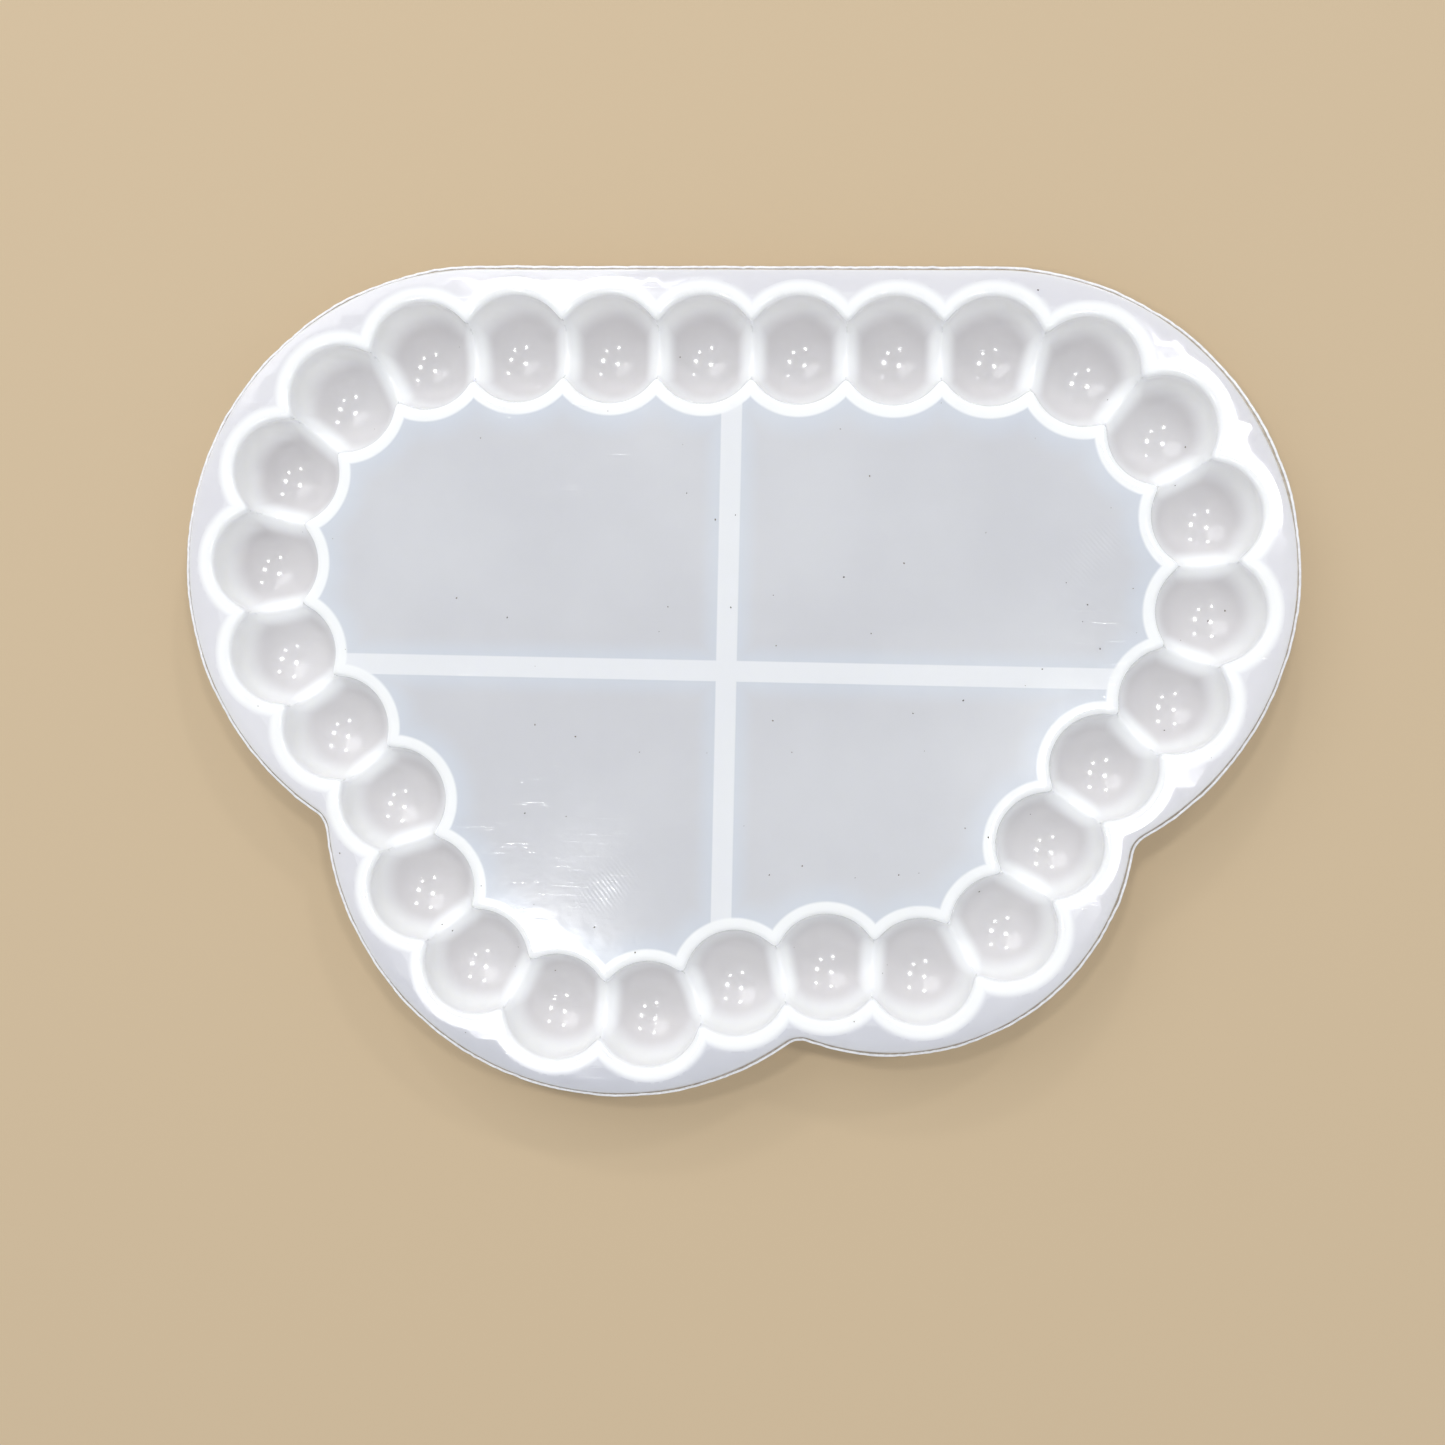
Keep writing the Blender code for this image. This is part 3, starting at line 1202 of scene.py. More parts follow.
        opened = tree.node("GeometryNodeRepeatInput")
        closed = tree.node("GeometryNodeRepeatOutput")
        opened.pair_with_output(closed)
        tree.feed(opened.inputs["Iterations"], tree.given("Steps"))
        tree.feed(opened.inputs["Geometry"], tree.given("Geometry"))
        here = distance(position)
        slopes = []
        for axis in range(3):
            shift = tuple(self.probe if i == axis else 0.0 for i in range(3))
            there = distance(tree.vector("ADD", position, shift))
            slopes.append(tree.over(tree.minus(there, here), self.probe))
        slope = tree.joined(*slopes)
        size = tree.scalar("DOT_PRODUCT", slope, slope)
        size = tree.math("MAXIMUM", size, self.least_slope)
        move = tree.scaled(slope, tree.times(tree.over(here, size), -self.stride))
        moved = tree.run("GeometryNodeSetPosition", {
            "Geometry": opened.outputs["Geometry"],
            "Selection": tree.attribute("pressed", "INT"),
            "Offset": move,
        })
        tree.feed(closed.inputs["Geometry"], moved)
        return closed.outputs["Geometry"]

    def press(self, finish: bpy.types.Material) -> bpy.types.Object:
        """Presses the blank on to the smooth surface.

        Args:
            finish: The material.

        Returns:
            The finished skin.
        """
        axes = self.axes()
        tree = GeometryTree("Press the moulding", {
            "Ball centres": axes,
            "Steps": self.press_steps,
            "Ridge softness": self.ridge_softness,
            "Rim softness": self.rim_softness,
            "Foot softness": self.foot_softness,
            "Sag": self.sag,
            "Height": self.height,
            "Material": finish,
        })
        position = tree.node("GeometryNodeInputPosition").outputs[0]
        near = self.near_balls(tree, position)
        shape = self.pressed(tree, position, near)
        shape = self.mark(tree, shape, position, near)
        tree.end(self.settle(tree, shape, position))
        piece = tree.apply("mould_skin", self.blank())
        bpy.data.objects.remove(axes)
        self.polish(piece.data)
        return piece

    def polish(self, mesh: bpy.types.Mesh) -> None:
        """Gives the bowls the exact normals of their balls, so that lights show evenly in them.

        Args:
            mesh: The skin's mesh, changed in place.
        """
        def read(values: object, key: str, width: int = 1) -> np.ndarray:
            """Reads one value, or a row of them, for every point.

            Args:
                values: The collection that holds them.
                key: Their name.
                width: How many there are for a point.

            Returns:
                The values, with a row for each point if there are several.
            """
            found = np.empty(len(mesh.vertices) * width, dtype=np.float32)
            values.foreach_get(key, found)
            return found.reshape(-1, width) if width > 1 else found

        normals = read(mesh.vertex_normals, "vector", 3)
        kept = mesh.attributes
        cups = read(kept["cup"].data, "value").astype(int)
        balls = np.array([(*c, self.floor_top) for c in self.centres])[cups]
        exact = balls - read(mesh.vertices, "co", 3)
        exact /= np.linalg.norm(exact, axis=1)[:, None]
        from_cup = read(kept["from_cup"].data, "value")
        from_ridge = read(kept["from_ridge"].data, "value")
        share = np.clip((self.exact_radius - from_cup) / self.exact_fade, 0.0, 1.0)
        share *= np.clip((from_ridge - self.ridge_gap) / self.ridge_fade, 0.0, 1.0)
        share *= np.abs(read(kept["ball"].data, "value") - self.bowl) < self.weld
        normals += (exact - normals) * share[:, None]
        normals /= np.linalg.norm(normals, axis=1)[:, None]
        mesh.normals_split_custom_set_from_vertices(normals.tolist())

    @staticmethod
    def mark(
        tree: GeometryTree, shape: Socket, position: Socket, near: dict[str, Socket]
    ) -> Socket:
        """Keeps on each point its distance from its bowl's axis and from the nearest ridge.

        Args:
            tree: The tree.
            shape: The pressed geometry.
            position: The points' places.
            near: The centres of the balls that shape each point.

        Returns:
            The geometry with both distances, in millimetres.
        """
        x, y, _ = tree.parts(tree.vector("SUBTRACT", position, near["Here"]))
        away = tree.scalar("LENGTH", tree.joined(x, y, 0.0))
        shape = tree.store(shape, "from_cup", tree.over(away, MM))
        planes = []
        for title in ("Before", "After"):
            across = tree.vector("SUBTRACT", near[title], near["Here"])
            span = tree.scalar("LENGTH", across)
            along = tree.scalar("DOT_PRODUCT", tree.joined(x, y, 0.0), across)
            along = tree.over(along, span)
            planes.append(tree.minus(tree.times(span, 0.5), along))
        nearest = tree.math("ABSOLUTE", tree.math("MINIMUM", *planes))
        return tree.store(shape, "from_ridge", tree.over(nearest, MM))

    def settle(self, tree: GeometryTree, shape: Socket, position: Socket) -> Socket:
        """Lets the soft moulding dip a little here and there, more the higher it is.

        Args:
            tree: The tree.
            shape: The pressed geometry.
            position: The points' places.

        Returns:
            The settled geometry.
        """
        x, y, z = tree.parts(position)
        plan = tree.joined(x, y, 0.0)
        dip = tree.times(tree.noise(plan, self.sag_scale, 1.0), tree.given("Sag"))
        for hollow in DIPS:
            away = tree.vector("SUBTRACT", plan, (hollow.x, hollow.y, 0.0))
            share = tree.over(tree.scalar("LENGTH", away), hollow.spread)
            fall = tree.math("EXPONENT", tree.times(tree.math("POWER", share, 2.0), -0.5))
            dip = tree.plus(dip, tree.times(fall, hollow.depth))
        dip = tree.times(dip, tree.over(z, tree.given("Height")))
        offset = tree.joined(0.0, 0.0, tree.times(dip, -1.0))
        return tree.run("GeometryNodeSetPosition", {"Geometry": shape, "Offset": offset})


@dataclass(frozen=True)
class Cross:
    """Plan of the cross of ribs: where its arms meet, and how wide they are."""

    x: float
    y: float
    width: float


@dataclass(frozen=True)
class Ripples:
    """A patch of fine ripples: its place, the turn of its crests and how deep they are."""

    x: float
    y: float
    turn: float
    depth: float


RIPPLES = (
    Ripples(-0.0204, -0.0365, 0.7, 0.12),
    Ripples(0.0640, 0.0250, 0.8, 0.32),
)


def start_material(
    name: str, settings: dict[str, object]
) -> tuple[bpy.types.Material, bpy.types.Node, ShaderWiring]:
    """Makes a material and sets what is the same all over it.

    Args:
        name: The material's name.
        settings: Value of each shader input that is constant.

    Returns:
        The material, its shader and the wiring for the rest.
    """
    material = bpy.data.materials.new(name)
    material.use_nodes = True
    shader = material.node_tree.nodes["Principled BSDF"]
    for title, value in settings.items():
        shader.inputs[title].default_value = value
    return material, shader, ShaderWiring(material.node_tree)


@dataclass(frozen=True)
class SiliconeFinish:
    """Milky silicone: whiter where it is thick, greyer where it is thin, with painted shade and
    light
    laid over that: a bluish painted shade on the tray by the walls and ribs, a flange painted
    darker towards the front, and painted light that shines through the bowl walls.

    Each fade says where one tone gives way to the next: in millimetres from a bowl's axis or
    from a ridge, in metres on the plan and up the step, or in the noise's own values.
    """

    cross: Cross
    floor_top: float
    name: str = "milky_silicone"
    thin: Colour = linear(207, 207, 211)
    # Painted shade: the bluish tint that the tray takes near the bowls' walls and along the ribs.
    cool_shade: Colour = linear(210, 216, 226)
    # Painted shade: the flange is lit at the rear in this colour and goes to shaded_brim towards
    # the front.
    brim: Colour = linear(220, 219, 224)
    shaded_brim: Colour = linear(199, 200, 207)
    bowl: Colour = linear(214, 211, 212)
    thick: Colour = linear(251, 252, 254)
    rib: Colour = linear(234, 235, 240)
    # Whiter up the bowl walls: partly the thick silicone there, partly painted light shining
    # through the walls.
    wall_thickness_and_glow_fade: Span = (6.4, 9.6)
    bowl_fade: Span = (9.0, 9.8)
    flat_fade: Span = (9.5, 9.9)
    tray_fade: Span = (11.5, 12.05)
    flange_fade: Span = (11.0, 12.7)
    wall_shade_fade: Span = (11.9, 17.0)
    crest_fade: Span = (0.9, 3.2)
    step_fade: Span = (0.4 * MM, 1.0 * MM)
    rib_fade: Span = (-0.1 * MM, 0.15 * MM)
    rib_shade_reach: float = 4.0 * MM
    brim_shade_fade: Span = (-0.080, -0.030)
    cool_shade_share: float = 0.6
    haze_scale: float = 30.0
    haze_fade: Span = (0.35, 0.75)
    haze: float = 0.12
    cloud_scale: float = 55.0
    cloud_fade: Span = (0.45, 0.75)
    roughness: float = 0.12
    smudge: float = 0.04
    softness: float = 0.7
    soft_depth: float = 0.0032
    soft_tint: tuple[float, float, float] = (1.0, 1.0, 1.1)
    ior: float = 1.41
    gloss: float = 1.0
    wave_scale: float = 260.0
    scratch_turn: float = 0.7
    scratch_scale: tuple[float, float, float] = (90.0, 2500.0, 90.0)
    scratch_fade: Span = (0.62, 0.75)
    scratch_depth: float = 0.25
    ripple_pitch: float = 0.7 * MM
    ripple_waver: float = 0.8 * MM
    waver_scale: float = 220.0
    ripple_length: Span = (2.0 * MM, 8.0 * MM)
    ripple_width: Span = (0.5 * MM, 5.0 * MM)
    relief_height: float = 0.02 * MM

    def build(self) -> bpy.types.Material:
        """Makes the material.

        Returns:
            The material.
        """
        material, shader, wiring = start_material(self.name, {
            "IOR": self.ior,
            "Specular IOR Level": self.gloss,
            "Subsurface Weight": self.softness,
            "Subsurface Radius": self.soft_tint,
            "Subsurface Scale": self.soft_depth,
        })
        place = wiring.node("ShaderNodeTexCoord").outputs["Object"]
        wiring.feed(shader.inputs["Base Color"], self.colour(wiring, place))
        cloud = wiring.noise(place, self.cloud_scale, 4.0)
        roughest = self.roughness + self.smudge
        rough = wiring.fade(cloud, *self.cloud_fade, self.roughness, roughest)
        wiring.feed(shader.inputs["Roughness"], rough)
        wiring.feed(shader.inputs["Normal"], self.relief(wiring, place))
        return material

    def colour(self, wiring: ShaderWiring, place: Socket) -> Socket:
        """Works out the colour from how thick the silicone is, with painted shade and painted
        light over it.

        Args:
            wiring: The material's wiring.
            place: Object coordinates.

        Returns:
            The colour.
        """
        away = wiring.attribute("from_cup")
        ridge = wiring.attribute("from_ridge")
        level = wiring.attribute("level")
        x, y, _ = wiring.parts(place)
        steps = [self.floor_top + rise for rise in self.step_fade]
        tray = wiring.fade_out(level, *steps)
        above = wiring.minus(1.0, tray)
        # Whiter up the bowl walls towards their rims: partly the thick silicone, partly painted
        # light shining through the walls.
        inner = wiring.fade(away, *self.wall_thickness_and_glow_fade)
        outer = wiring.times(tray, wiring.fade_out(away, *self.tray_fade))
        soft = wiring.times(above, wiring.fade_out(away, *self.flange_fade))
        crest = wiring.fade_out(ridge, *self.crest_fade)
        white = wiring.times(wiring.plus(outer, soft), wiring.math("MAXIMUM", inner, crest))
        flat = wiring.times(tray, wiring.fade(away, *self.flat_fade))
        half = 0.5 * self.cross.width
        edges = [half + shift for shift in self.rib_fade]
        # Painted shade: the tray goes bluish near the bowls' walls and along the ribs, where they
        # keep the warm light from below off it.
        bands, cool_shade_mask = [], wiring.fade_out(away, *self.wall_shade_fade)
        for value, middle in ((x, self.cross.x), (y, self.cross.y)):
            off = wiring.math("ABSOLUTE", wiring.minus(value, middle))
            bands.append(wiring.fade_out(off, *edges))
            cool_shade_mask = wiring.math("MAXIMUM", cool_shade_mask, wiring.fade_out(off, half, half + self.rib_shade_reach))
        band = wiring.times(flat, wiring.math("MAXIMUM", *bands))
        cool_shade_mask = wiring.times(wiring.times(cool_shade_mask, flat), self.cool_shade_share)
        # Painted shade: the flange goes darker from the rear towards the front.
        brim = wiring.mix(wiring.fade(y, *self.brim_shade_fade), self.shaded_brim, self.brim)
        sheet = wiring.mix(tray, brim, self.thin)
        grey = wiring.mix(wiring.fade(away, *self.bowl_fade), self.bowl, sheet)
        # Lays the bluish painted shade over the grey.
        grey = wiring.mix(cool_shade_mask, grey, self.cool_shade)
        grey = wiring.mix(band, grey, self.rib)
        colour = wiring.mix(white, grey, self.thick)
        haze = wiring.noise(place, self.haze_scale, 3.0)
        haze = wiring.fade(haze, *self.haze_fade, 0.0, self.haze)
        return wiring.mix(haze, colour, self.thick)

    def relief(self, wiring: ShaderWiring, place: Socket) -> Socket:
        """Makes the fine relief: soft waves, faint scratches and the patches of ripples.

        Args:
            wiring: The material's wiring.
            place: Object coordinates.

        Returns:
            The normal.
        """
        waves = wiring.noise(place, self.wave_scale, 2.0)
        stretched = wiring.node("ShaderNodeMapping")
        wiring.feed(stretched.inputs["Vector"], place)
        stretched.inputs["Rotation"].default_value = (0.0, 0.0, self.scratch_turn)
        stretched.inputs["Scale"].default_value = self.scratch_scale
        scratches = wiring.noise(stretched.outputs[0], 1.0, 2.0)
        scratches = wiring.fade(scratches, *self.scratch_fade)
        height = wiring.plus(waves, wiring.times(scratches, self.scratch_depth))
        for patch in RIPPLES:
            height = wiring.plus(height, self.rippled(wiring, place, patch))
        bump = wiring.node("ShaderNodeBump")
        bump.inputs["Strength"].default_value = 1.0
        bump.inputs["Distance"].default_value = self.relief_height
        wiring.feed(bump.inputs["Height"], height)
        return bump.outputs[0]

    def rippled(self, wiring: ShaderWiring, place: Socket, patch: Ripples) -> Socket:
        """Makes one patch of ripples, which waver a little and fade out at its sides.

        Args:
            wiring: The material's wiring.
            place: Object coordinates.
            patch: The patch.

        Returns:
            Their height.
        """
        middle = wiring.node("ShaderNodeMapping", vector_type="TEXTURE")
        wiring.feed(middle.inputs["Vector"], place)
        middle.inputs["Location"].default_value = (patch.x, patch.y, 0.0)
        middle.inputs["Rotation"].default_value = (0.0, 0.0, patch.turn)
        along, across, _ = wiring.parts(middle.outputs[0])
        waver = wiring.times(wiring.noise(place, self.waver_scale, 2.0), self.ripple_waver)
        phase = wiring.times(wiring.plus(along, waver), FULL_TURN / self.ripple_pitch)
        near = wiring.fade_out(wiring.math("ABSOLUTE", along), *self.ripple_length)
        side = wiring.fade_out(wiring.math("ABSOLUTE", across), *self.ripple_width)
        ripple = wiring.times(wiring.math("SINE", phase), wiring.times(near, side))
        return wiring.times(ripple, patch.depth)


@dataclass(frozen=True)
class PlainFinish:
    """One material of an even colour, with a little mottling."""

    name: str
    dark: Colour
    light: Colour
    roughness: float
    transmission: float = 0.0
    ior: float = 1.41
    scale: float = 900.0
    mottling: Span = (0.35, 0.65)

    def build(self) -> bpy.types.Material:
        """Makes the material.

        Returns:
            The material.
        """
        material, shader, wiring = start_material(self.name, {
            "Roughness": self.roughness,
            "Transmission Weight": self.transmission,
            "IOR": self.ior,
        })
        place = wiring.node("ShaderNodeTexCoord").outputs["Object"]
        share = wiring.fade(wiring.noise(place, self.scale, 2.0), *self.mottling)
        wiring.feed(shader.inputs["Base Color"], wiring.mix(share, self.dark, self.light))
        return material


@dataclass
class RibCross:
    """The cross of ribs under the tray, with filleted tops that run into the floor and cups.

    An arm ends where it meets the middle of a cup's wall, or the line between two cups less
    setback. Its top is buried a little in the floor.
    """

    cross: Cross
    centres: list[Vector]
    centre_height: float
    floor_under: float
    wall_middle: float = 0.0107
    setback: float = 0.0072
    buried: float = 0.0003
    march: float = 0.0002
    foot: float = 0.0005
    foot_steps: int = 4
    fillet: float = 0.0012
    fillet_steps: int = 5
    side_rows: tuple[float, ...] = (0.35, 0.7)
    arm_steps: int = 36
    crease: float = math.radians(40.0)

    def sections(self) -> list[tuple[float, float]]:
        """Draws the side of a rib, from its rounded foot to the fillet at its top.

        Returns:
            Half width and height, upwards.
        """
        half, top = 0.5 * self.cross.width, self.floor_under
        rows = []
        for i in range(self.foot_steps + 1):
            turn = RIGHT_ANGLE * i / self.foot_steps
            narrower = self.foot * (1.0 - math.sin(turn))
            rows.append((half - narrower, self.foot * (1.0 - math.cos(turn))))
        rows += [(half, share * top) for share in self.side_rows]
        for i in range(self.fillet_steps + 1):
            turn = RIGHT_ANGLE * i / self.fillet_steps
            wider = self.fillet * (1.0 - math.cos(turn))
            rows.append((half + wider, top - self.fillet * (1.0 - math.sin(turn))))
        return rows + [(half + self.fillet, top + self.buried)]

    def end(self, start: Vector, heading: Vector, height: float) -> Vector:
        """Finds where an arm's corner line runs into the cups.

        Args:
            start: Where the line leaves the hub.
            heading: The arm's direction.
            height: Height of the line.

        Returns:
            The plan point.
        """
        drop = self.centre_height - height
        point = start.copy()
        while True:
            point += heading * self.march
            first, second = sorted(self.centres, key=lambda c: (c - point).length)[:2]
            if math.hypot((first - point).length, drop) < self.wall_middle:
                return point
            along = (second - first).normalized()
            if abs((point - first).cross(along)) < self.setback:
                return point

    def build(self, finish: bpy.types.Material) -> bpy.types.Object:
        """Makes the cross as one closed solid.

        Args:
            finish: The material.

        Returns:
            The finished cross.
        """
        body = bmesh.new()
        middle = Vector((self.cross.x, self.cross.y))
        steps = self.arm_steps
        loops = []
        for half, height in self.sections():
            outline = []
            for quarter in range(4):
                turn = quarter * RIGHT_ANGLE
                heading = Vector((math.cos(turn), math.sin(turn)))
                side = Vector((-heading.y, heading.x))
                low = middle - side * half + heading * half
                high = middle + side * half + heading * half
                low_end = self.end(low, heading, height)
                high_end = self.end(high, heading, height)
                outline += [low.lerp(low_end, i / steps) for i in range(steps + 1)]
                outline += [high_end.lerp(high, i / steps) for i in range(steps)]
            loops.append([body.verts.new((*p, height)) for p in outline])
        for lower, upper in zip(loops, loops[1:]):
            for i, vert in enumerate(lower):
                after = (i + 1) % len(lower)
                body.faces.new((vert, lower[after], upper[after], upper[i]))
        body.faces.new(loops[0][::-1])
        body.faces.new(loops[-1])
        bmesh.ops.triangulate(body, faces=[f for f in body.faces if len(f.verts) > 4])
        bmesh.ops.recalc_face_normals(body, faces=body.faces)
        mesh = bpy.data.meshes.new("rib_cross")
        body.to_mesh(mesh)
        body.free()
        mesh.shade_smooth()
        mesh.set_sharp_from_angle(angle=self.crease)
        mesh.materials.append(finish)
        return link(bpy.data.objects.new("rib_cross", mesh))


@dataclass
class FlashLip:
    """The thin ragged lip that is left round the flange's edge where the moulding parted.

    root and reach are how far its inner and outer sides lie inside the plan's edge. Each wave
    is a noise's scale and its share of the raggedness.
    """

    plan: CloudPlan
    height: float
    root: float = 0.0014
    reach: float = 0.00036
    thickness: float = 0.00024
    bead: float = 0.00040
    ragged: float = 0.0005
    seed: float = 3.0
    waves: tuple[tuple[float, float], ...] = ((90.0, 0.6), (700.0, 0.4))

    def sweep(
        self, name: str, inset: float, width: float, depth: float, whole: bool,
        finish: bpy.types.Material,
    ) -> bpy.types.Object:
        """Sweeps one strip along the edge with Geometry Nodes.

        Args:
            name: The strip's name.
            inset: How far its middle line is inside the CAD edge.
            width: Its width.
            depth: Its thickness.
            whole: Whether all of it wavers, and not only its outer side.
            finish: The material.

        Returns:
            The finished strip.
        """
        tree = GeometryTree("Sweep " + name, {
            "Width": width,
            "Thickness": depth,
            "Ragged": self.ragged,
            "Whole": float(whole),
            "Line shift": inset,
            "Seed": self.seed,
            "Material": finish,
        })
        path = tree.run("GeometryNodeMeshToCurve", {"Mesh": tree.given("Geometry")})
        path = tree.run("GeometryNodeSetCurveNormal", {"Curve": path}, mode="Z_UP")
        place = tree.node("GeometryNodeInputPosition").outputs[0]
        tangent = tree.node("GeometryNodeInputTangent").outputs[0]
        outward = tree.vector("CROSS_PRODUCT", tangent, (0.0, 0.0, 1.0))
        kept = tree.node("GeometryNodeCaptureAttribute", domain="POINT")
        for title, value in (("Root", place), ("Outward", outward)):
            kept.capture_items.new("VECTOR", title)
            tree.feed(kept.inputs[title], value)
        tree.feed(kept.inputs["Geometry"], path)
        section = tree.run("GeometryNodeCurvePrimitiveQuadrilateral", {
            "Width": tree.given("Width"), "Height": tree.given("Thickness"),
        })
        swept = tree.run("GeometryNodeCurveToMesh", {
            "Curve": kept.outputs["Geometry"], "Profile Curve": section,
        })
        root, outward = kept.outputs["Root"], kept.outputs["Outward"]
        side = tree.scalar("DOT_PRODUCT", tree.vector("SUBTRACT", place, root), outward)
        moved = tree.math("MAXIMUM", tree.math("GREATER_THAN", side, 0.0), tree.given("Whole"))
        back = tree.scaled(outward, tree.given("Line shift"))
        x, y, _ = tree.parts(tree.vector("ADD", root, back))
        push = 0.0
        for scale, share in self.waves:
            noise = tree.noise(tree.joined(x, y, 0.0), scale, 2.0, tree.given("Seed"))
            push = tree.plus(push, tree.times(tree.minus(noise, 0.5), share * 2.0))
        push = tree.times(tree.times(push, tree.given("Ragged")), moved)
        offset = tree.scaled(outward, push)
        tree.end(tree.run("GeometryNodeSetPosition", {"Geometry": swept, "Offset": offset}))
        line = self.plan.edge(inset)
        mesh = bpy.data.meshes.new(name + "_path")
        edges = [(i, (i + 1) % len(line)) for i in range(len(line))]
        mesh.from_pydata([(*p, self.height) for p in line], edges, [])
        return tree.apply(name, mesh)

    def build(
        self, web: bpy.types.Material, rim: bpy.types.Material
    ) -> tuple[bpy.types.Object, bpy.types.Object]:
        """Makes the see-through web of the lip and the thicker bead along its outer side.

        Args:
            web: The web's material.
            rim: The bead's material.

        Returns:
            The web and the bead.
        """
        middle = 0.5 * (self.root + self.reach)
        width = self.root - self.reach
        sheet = self.sweep("flash_web", middle, width, self.thickness, False, web)
        bead = self.sweep("flash_bead", self.reach, self.bead, self.bead, True, rim)
        return sheet, bead


@dataclass
class Dust:
    """Specks of dust that have settled on the tray and the flange."""

    density: float = 3600.0
    smallest: float = 0.00008
    largest: float = 0.00022
    width: float = 0.7
    thickness: float = 0.4
    least_facing: float = 0.6
    seed: int = 11

    def build(self, skin: bpy.types.Object, finish: bpy.types.Material) -> bpy.types.Object:
        """Scatters the specks with Geometry Nodes.

        Args:
            skin: The skin that they lie on.
            finish: The material.

        Returns:
            The specks as one piece.
        """
        tree = GeometryTree("Scatter the dust", {
            "Density": self.density,
            "Smallest": self.smallest,
            "Largest": self.largest,
            "Seed": self.seed,
            "Material": finish,
        })
        facing = tree.parts(tree.node("GeometryNodeInputNormal").outputs[0])[2]
        upward = tree.math("GREATER_THAN", facing, self.least_facing)
        scatter = tree.node("GeometryNodeDistributePointsOnFaces", distribute_method="RANDOM")
        tree.feed(scatter.inputs["Mesh"], tree.given("Geometry"))
        tree.feed(scatter.inputs["Selection"], upward)
        tree.feed(scatter.inputs["Density"], tree.given("Density"))
        tree.feed(scatter.inputs["Seed"], tree.given("Seed"))
        grain = tree.run("GeometryNodeMeshIcoSphere", {"Radius": 1.0, "Subdivisions": 1})
        size = tree.node("FunctionNodeRandomValue", data_type="FLOAT")
        for title, value in (("Min", "Smallest"), ("Max", "Largest"), ("Seed", "Seed")):
            socket = next(s for s in size.inputs if s.name == title and s.enabled)
            tree.feed(socket, tree.given(value))
        amount = next(s for s in size.outputs if s.enabled)
        narrow = tree.times(amount, self.width)
        sizes = tree.joined(amount, narrow, tree.times(amount, self.thickness))
        placed = tree.run("GeometryNodeInstanceOnPoints", {
            "Points": scatter.outputs["Points"], "Instance": grain,
            "Rotation": scatter.outputs["Rotation"], "Scale": sizes,
        })
        tree.end(placed)
        return tree.apply("dust_specks", skin.data.copy())


@dataclass(frozen=True)
class Lamp:
    """A round lamp that looks at the mould, so far right and back of it for each metre up."""

    name: str
    right: float
    back: float
    size: float
    power: float
    height: float = 1.5

    def hang(self) -> None:
        """Hangs the lamp."""
        data = bpy.data.lights.new(self.name, "AREA")
        data.shape = "DISK"
        data.size = self.size
        data.energy = self.power
        lamp = link(bpy.data.objects.new(self.name, data))
        lamp.location = Vector((self.right, self.back, 1.0)) * self.height
        lamp.rotation_euler = lamp.location.to_track_quat("Z", "Y").to_euler()


LAMPS = (
    Lamp("ceiling_lamp_1", -0.228, -0.248, 0.09, 1.9),
    Lamp("ceiling_lamp_2", -0.20, 0.40, 0.16, 3.9),
    Lamp("ceiling_lamp_3", 0.40, 0.28, 0.16, 3.9),
    Lamp("ceiling_lamp_4", 0.25, -0.10, 0.09, 1.4),
    Lamp("ceiling_lamp_5", 0.60, 1.15, 0.18, 4.6),
    Lamp("ceiling_lamp_6", -0.30, 1.40, 0.18, 4.6),
    Lamp("window_light", -0.65, 0.85, 0.7, 2.4, height=0.75),
)


@dataclass
class Studio:
    """Camera, lights and floor.

    The camera's place is stand, the last number measured up from the mould's top, and the
    sides of its picture run along right and up.
    """

    height: float
    lens: float = 36.0
    sensor: float = 36.0
    nearest: float = 0.01
    right: tuple[float, float, float] = (0.99753, 0.02101, -0.06712)
    up: tuple[float, float, float] = (-0.02309, 0.99928, -0.03030)
    stand: tuple[float, float, float] = (0.0166, 0.0019, 0.2588)
    room_colour: Colour = (0.92, 0.96, 1.0, 1.0)
    room_light: float = 0.52
    floor_colour: Colour = linear(200, 178, 146)
    floor_roughness: float = 0.8
    floor_side: float = 1.5
    floor_drop: float = 0.0001

    def camera(self) -> None:
        """Sets the camera above the mould, tilted a little."""
        data = bpy.data.cameras.new("camera")
        data.lens = self.lens
        data.sensor_width = self.sensor
        data.clip_start = self.nearest
        camera = link(bpy.data.objects.new("camera", data))
        right, up = Vector(self.right), Vector(self.up)
        turn = Matrix((right, up, right.cross(up))).transposed().to_4x4()
        x, y, above = self.stand
        camera.matrix_world = Matrix.Translation((x, y, self.height + above)) @ turn
        bpy.context.scene.camera = camera

    def lights(self) -> None:
        """Hangs the lamps and sets the even light around."""
        for lamp in LAMPS:
            lamp.hang()
        world = bpy.data.worlds.new("room")
        world.use_nodes = True
        background = world.node_tree.nodes["Background"]
        background.inputs["Color"].default_value = self.room_colour
        background.inputs["Strength"].default_value = self.room_light
        bpy.context.scene.world = world

    def floor(self) -> None:
        """Lays the plain pale floor."""
        mesh = bpy.data.meshes.new("floor")
        side = self.floor_side
        corners = [(-side, -side, 0.0), (side, -side, 0.0), (side, side, 0.0), (-side, side, 0.0)]
        mesh.from_pydata(corners, [], [(0, 1, 2, 3)])
        floor = link(bpy.data.objects.new("floor", mesh))
        floor.location.z = -self.floor_drop
        material, _, _ = start_material("plain_floor", {
            "Base Color": self.floor_colour,
            "Roughness": self.floor_roughness,
        })
        mesh.materials.append(material)


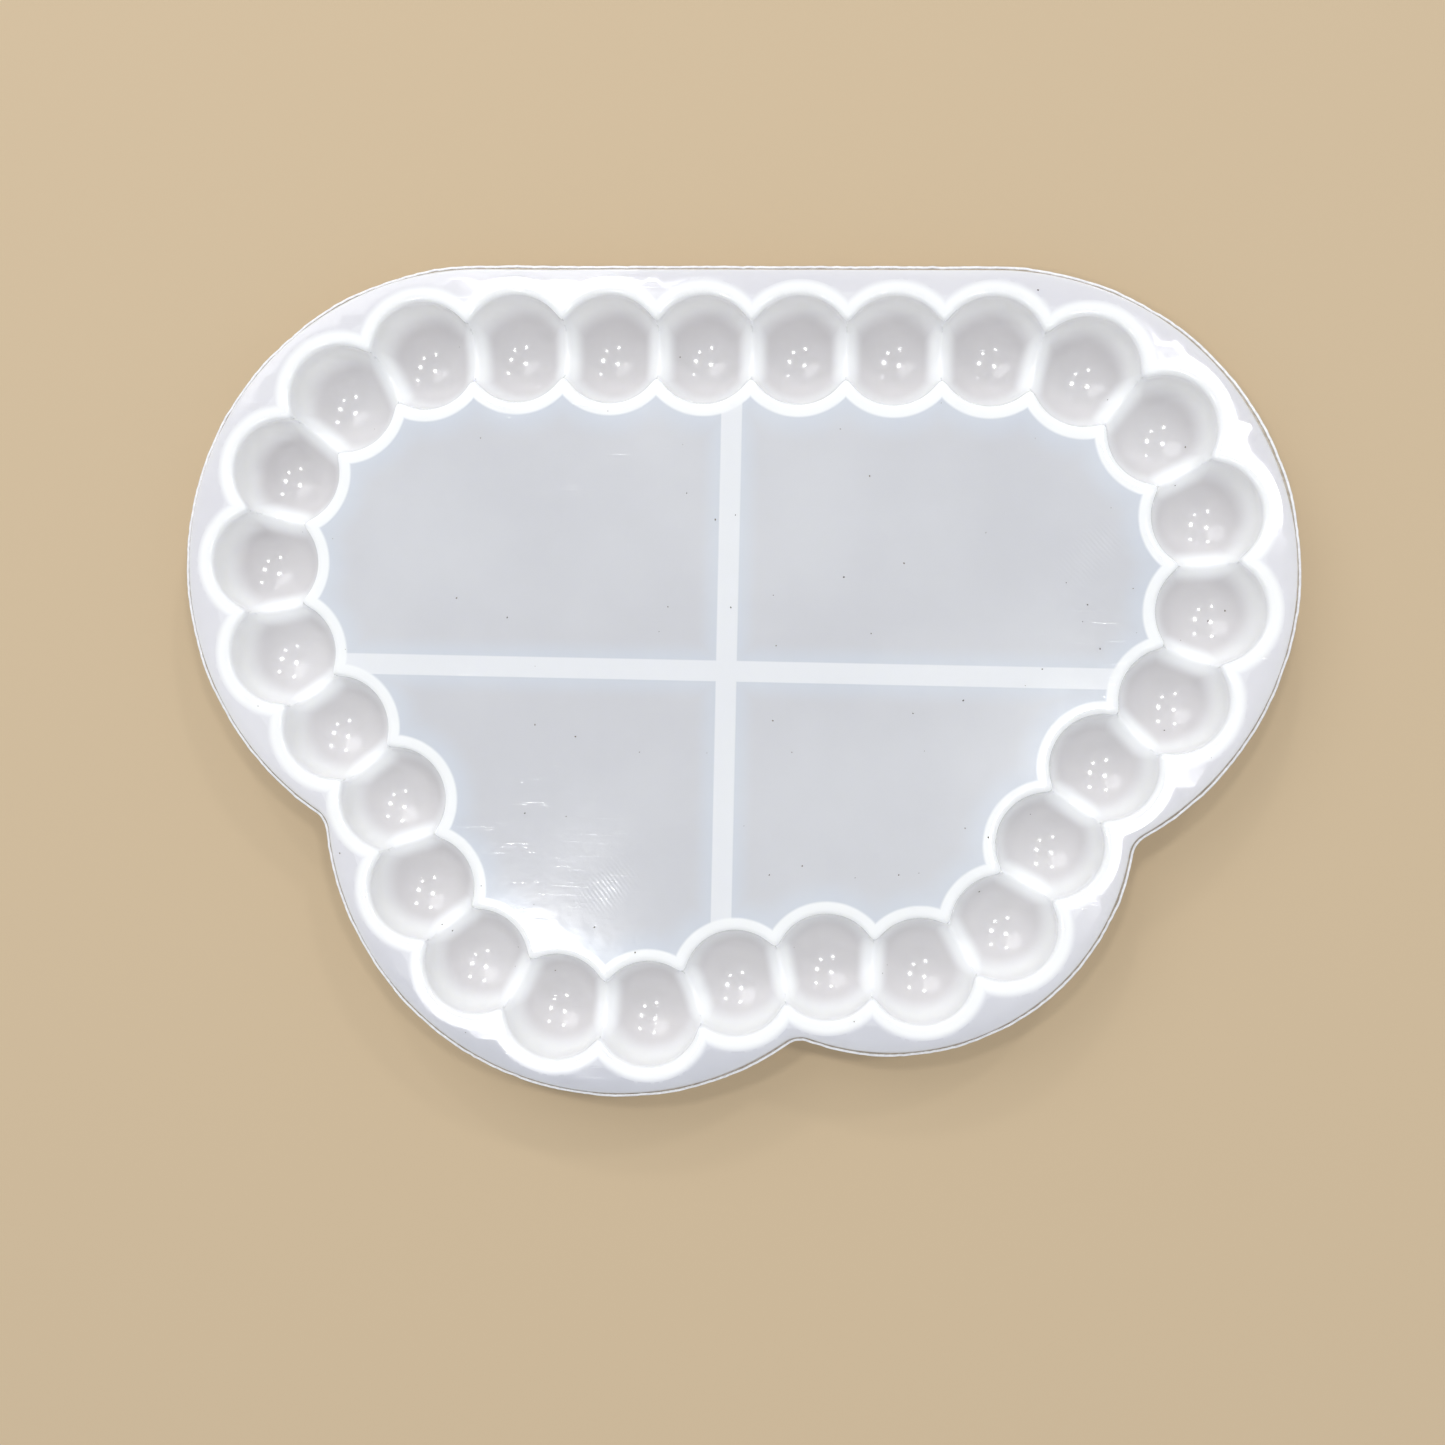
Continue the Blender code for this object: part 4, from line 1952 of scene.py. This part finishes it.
def ball_axis(node: bpy.types.Object) -> Vector:
    """Finds a cup's axis as the middle of its flat foot.

    Args:
        node: The cup's CAD node.

    Returns:
        The plan point.
    """
    level = 0.01 * MM
    places = np.array([v.co[:] for v in node.data.vertices])
    foot = places[places[:, 2] < places[:, 2].min() + level]
    middle = 0.5 * (foot.min(axis=0) + foot.max(axis=0))
    return Vector(middle[:2].tolist())


def finish(piece: bpy.types.Object, stands_for: list[str]) -> None:
    """Hands a piece over to the frame and reports it.

    Args:
        piece: The finished piece.
        stands_for: The CAD nodes that it replaces.
    """
    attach(piece, "root")
    if stands_for:
        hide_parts(*stands_for)
    mesh = piece.data
    LOG.info("%s: %d points, %d faces", piece.name, len(mesh.vertices), len(mesh.polygons))


def main() -> None:
    """Builds the mould and the studio."""
    logging.basicConfig(level=logging.INFO, format="%(name)s: %(message)s")
    bpy.context.scene.view_settings.view_transform = "Standard"
    height = CAD_BOX[1][2]
    studio = Studio(height)
    studio.camera()
    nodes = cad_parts
    cups = sorted(name for name in nodes if name.startswith("bead_cup"))
    ribs = sorted(name for name in nodes if name.startswith("rib_"))
    others = sorted(name for name in nodes if not name.startswith("rib_"))
    plan = CloudPlan()
    centres = [ball_axis(nodes[name]) for name in cups]
    skin = MouldSkin(plan, centres, height)
    low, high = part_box("rib_hub")
    cross = Cross(0.5 * (low.x + high.x), 0.5 * (low.y + high.y), high.x - low.x)

    moulding = skin.press(SiliconeFinish(cross, skin.floor_top).build())
    finish(moulding, others)

    rib = PlainFinish("rib_silicone", linear(226, 228, 232), linear(234, 235, 239), 0.2)
    under = skin.floor_top - skin.floor
    finish(RibCross(cross, centres, skin.floor_top, under).build(rib.build()), ribs)

    tan, pale_tan = linear(196, 184, 166), linear(214, 205, 192)
    web = PlainFinish("thin_web_silicone", tan, pale_tan, 0.25, 0.35)
    bead = PlainFinish("bead_silicone", linear(236, 235, 237), linear(248, 248, 250), 0.15)
    lip = FlashLip(plan, height - skin.flange + skin.lip_rise)
    for strip in lip.build(web.build(), bead.build()):
        finish(strip, [])

    dust = PlainFinish("dust", linear(70, 62, 56), linear(130, 120, 110), 0.9)
    finish(Dust().build(moulding, dust.build()), [])

    studio.lights()
    studio.floor()


if __name__ == "__main__":
    main()
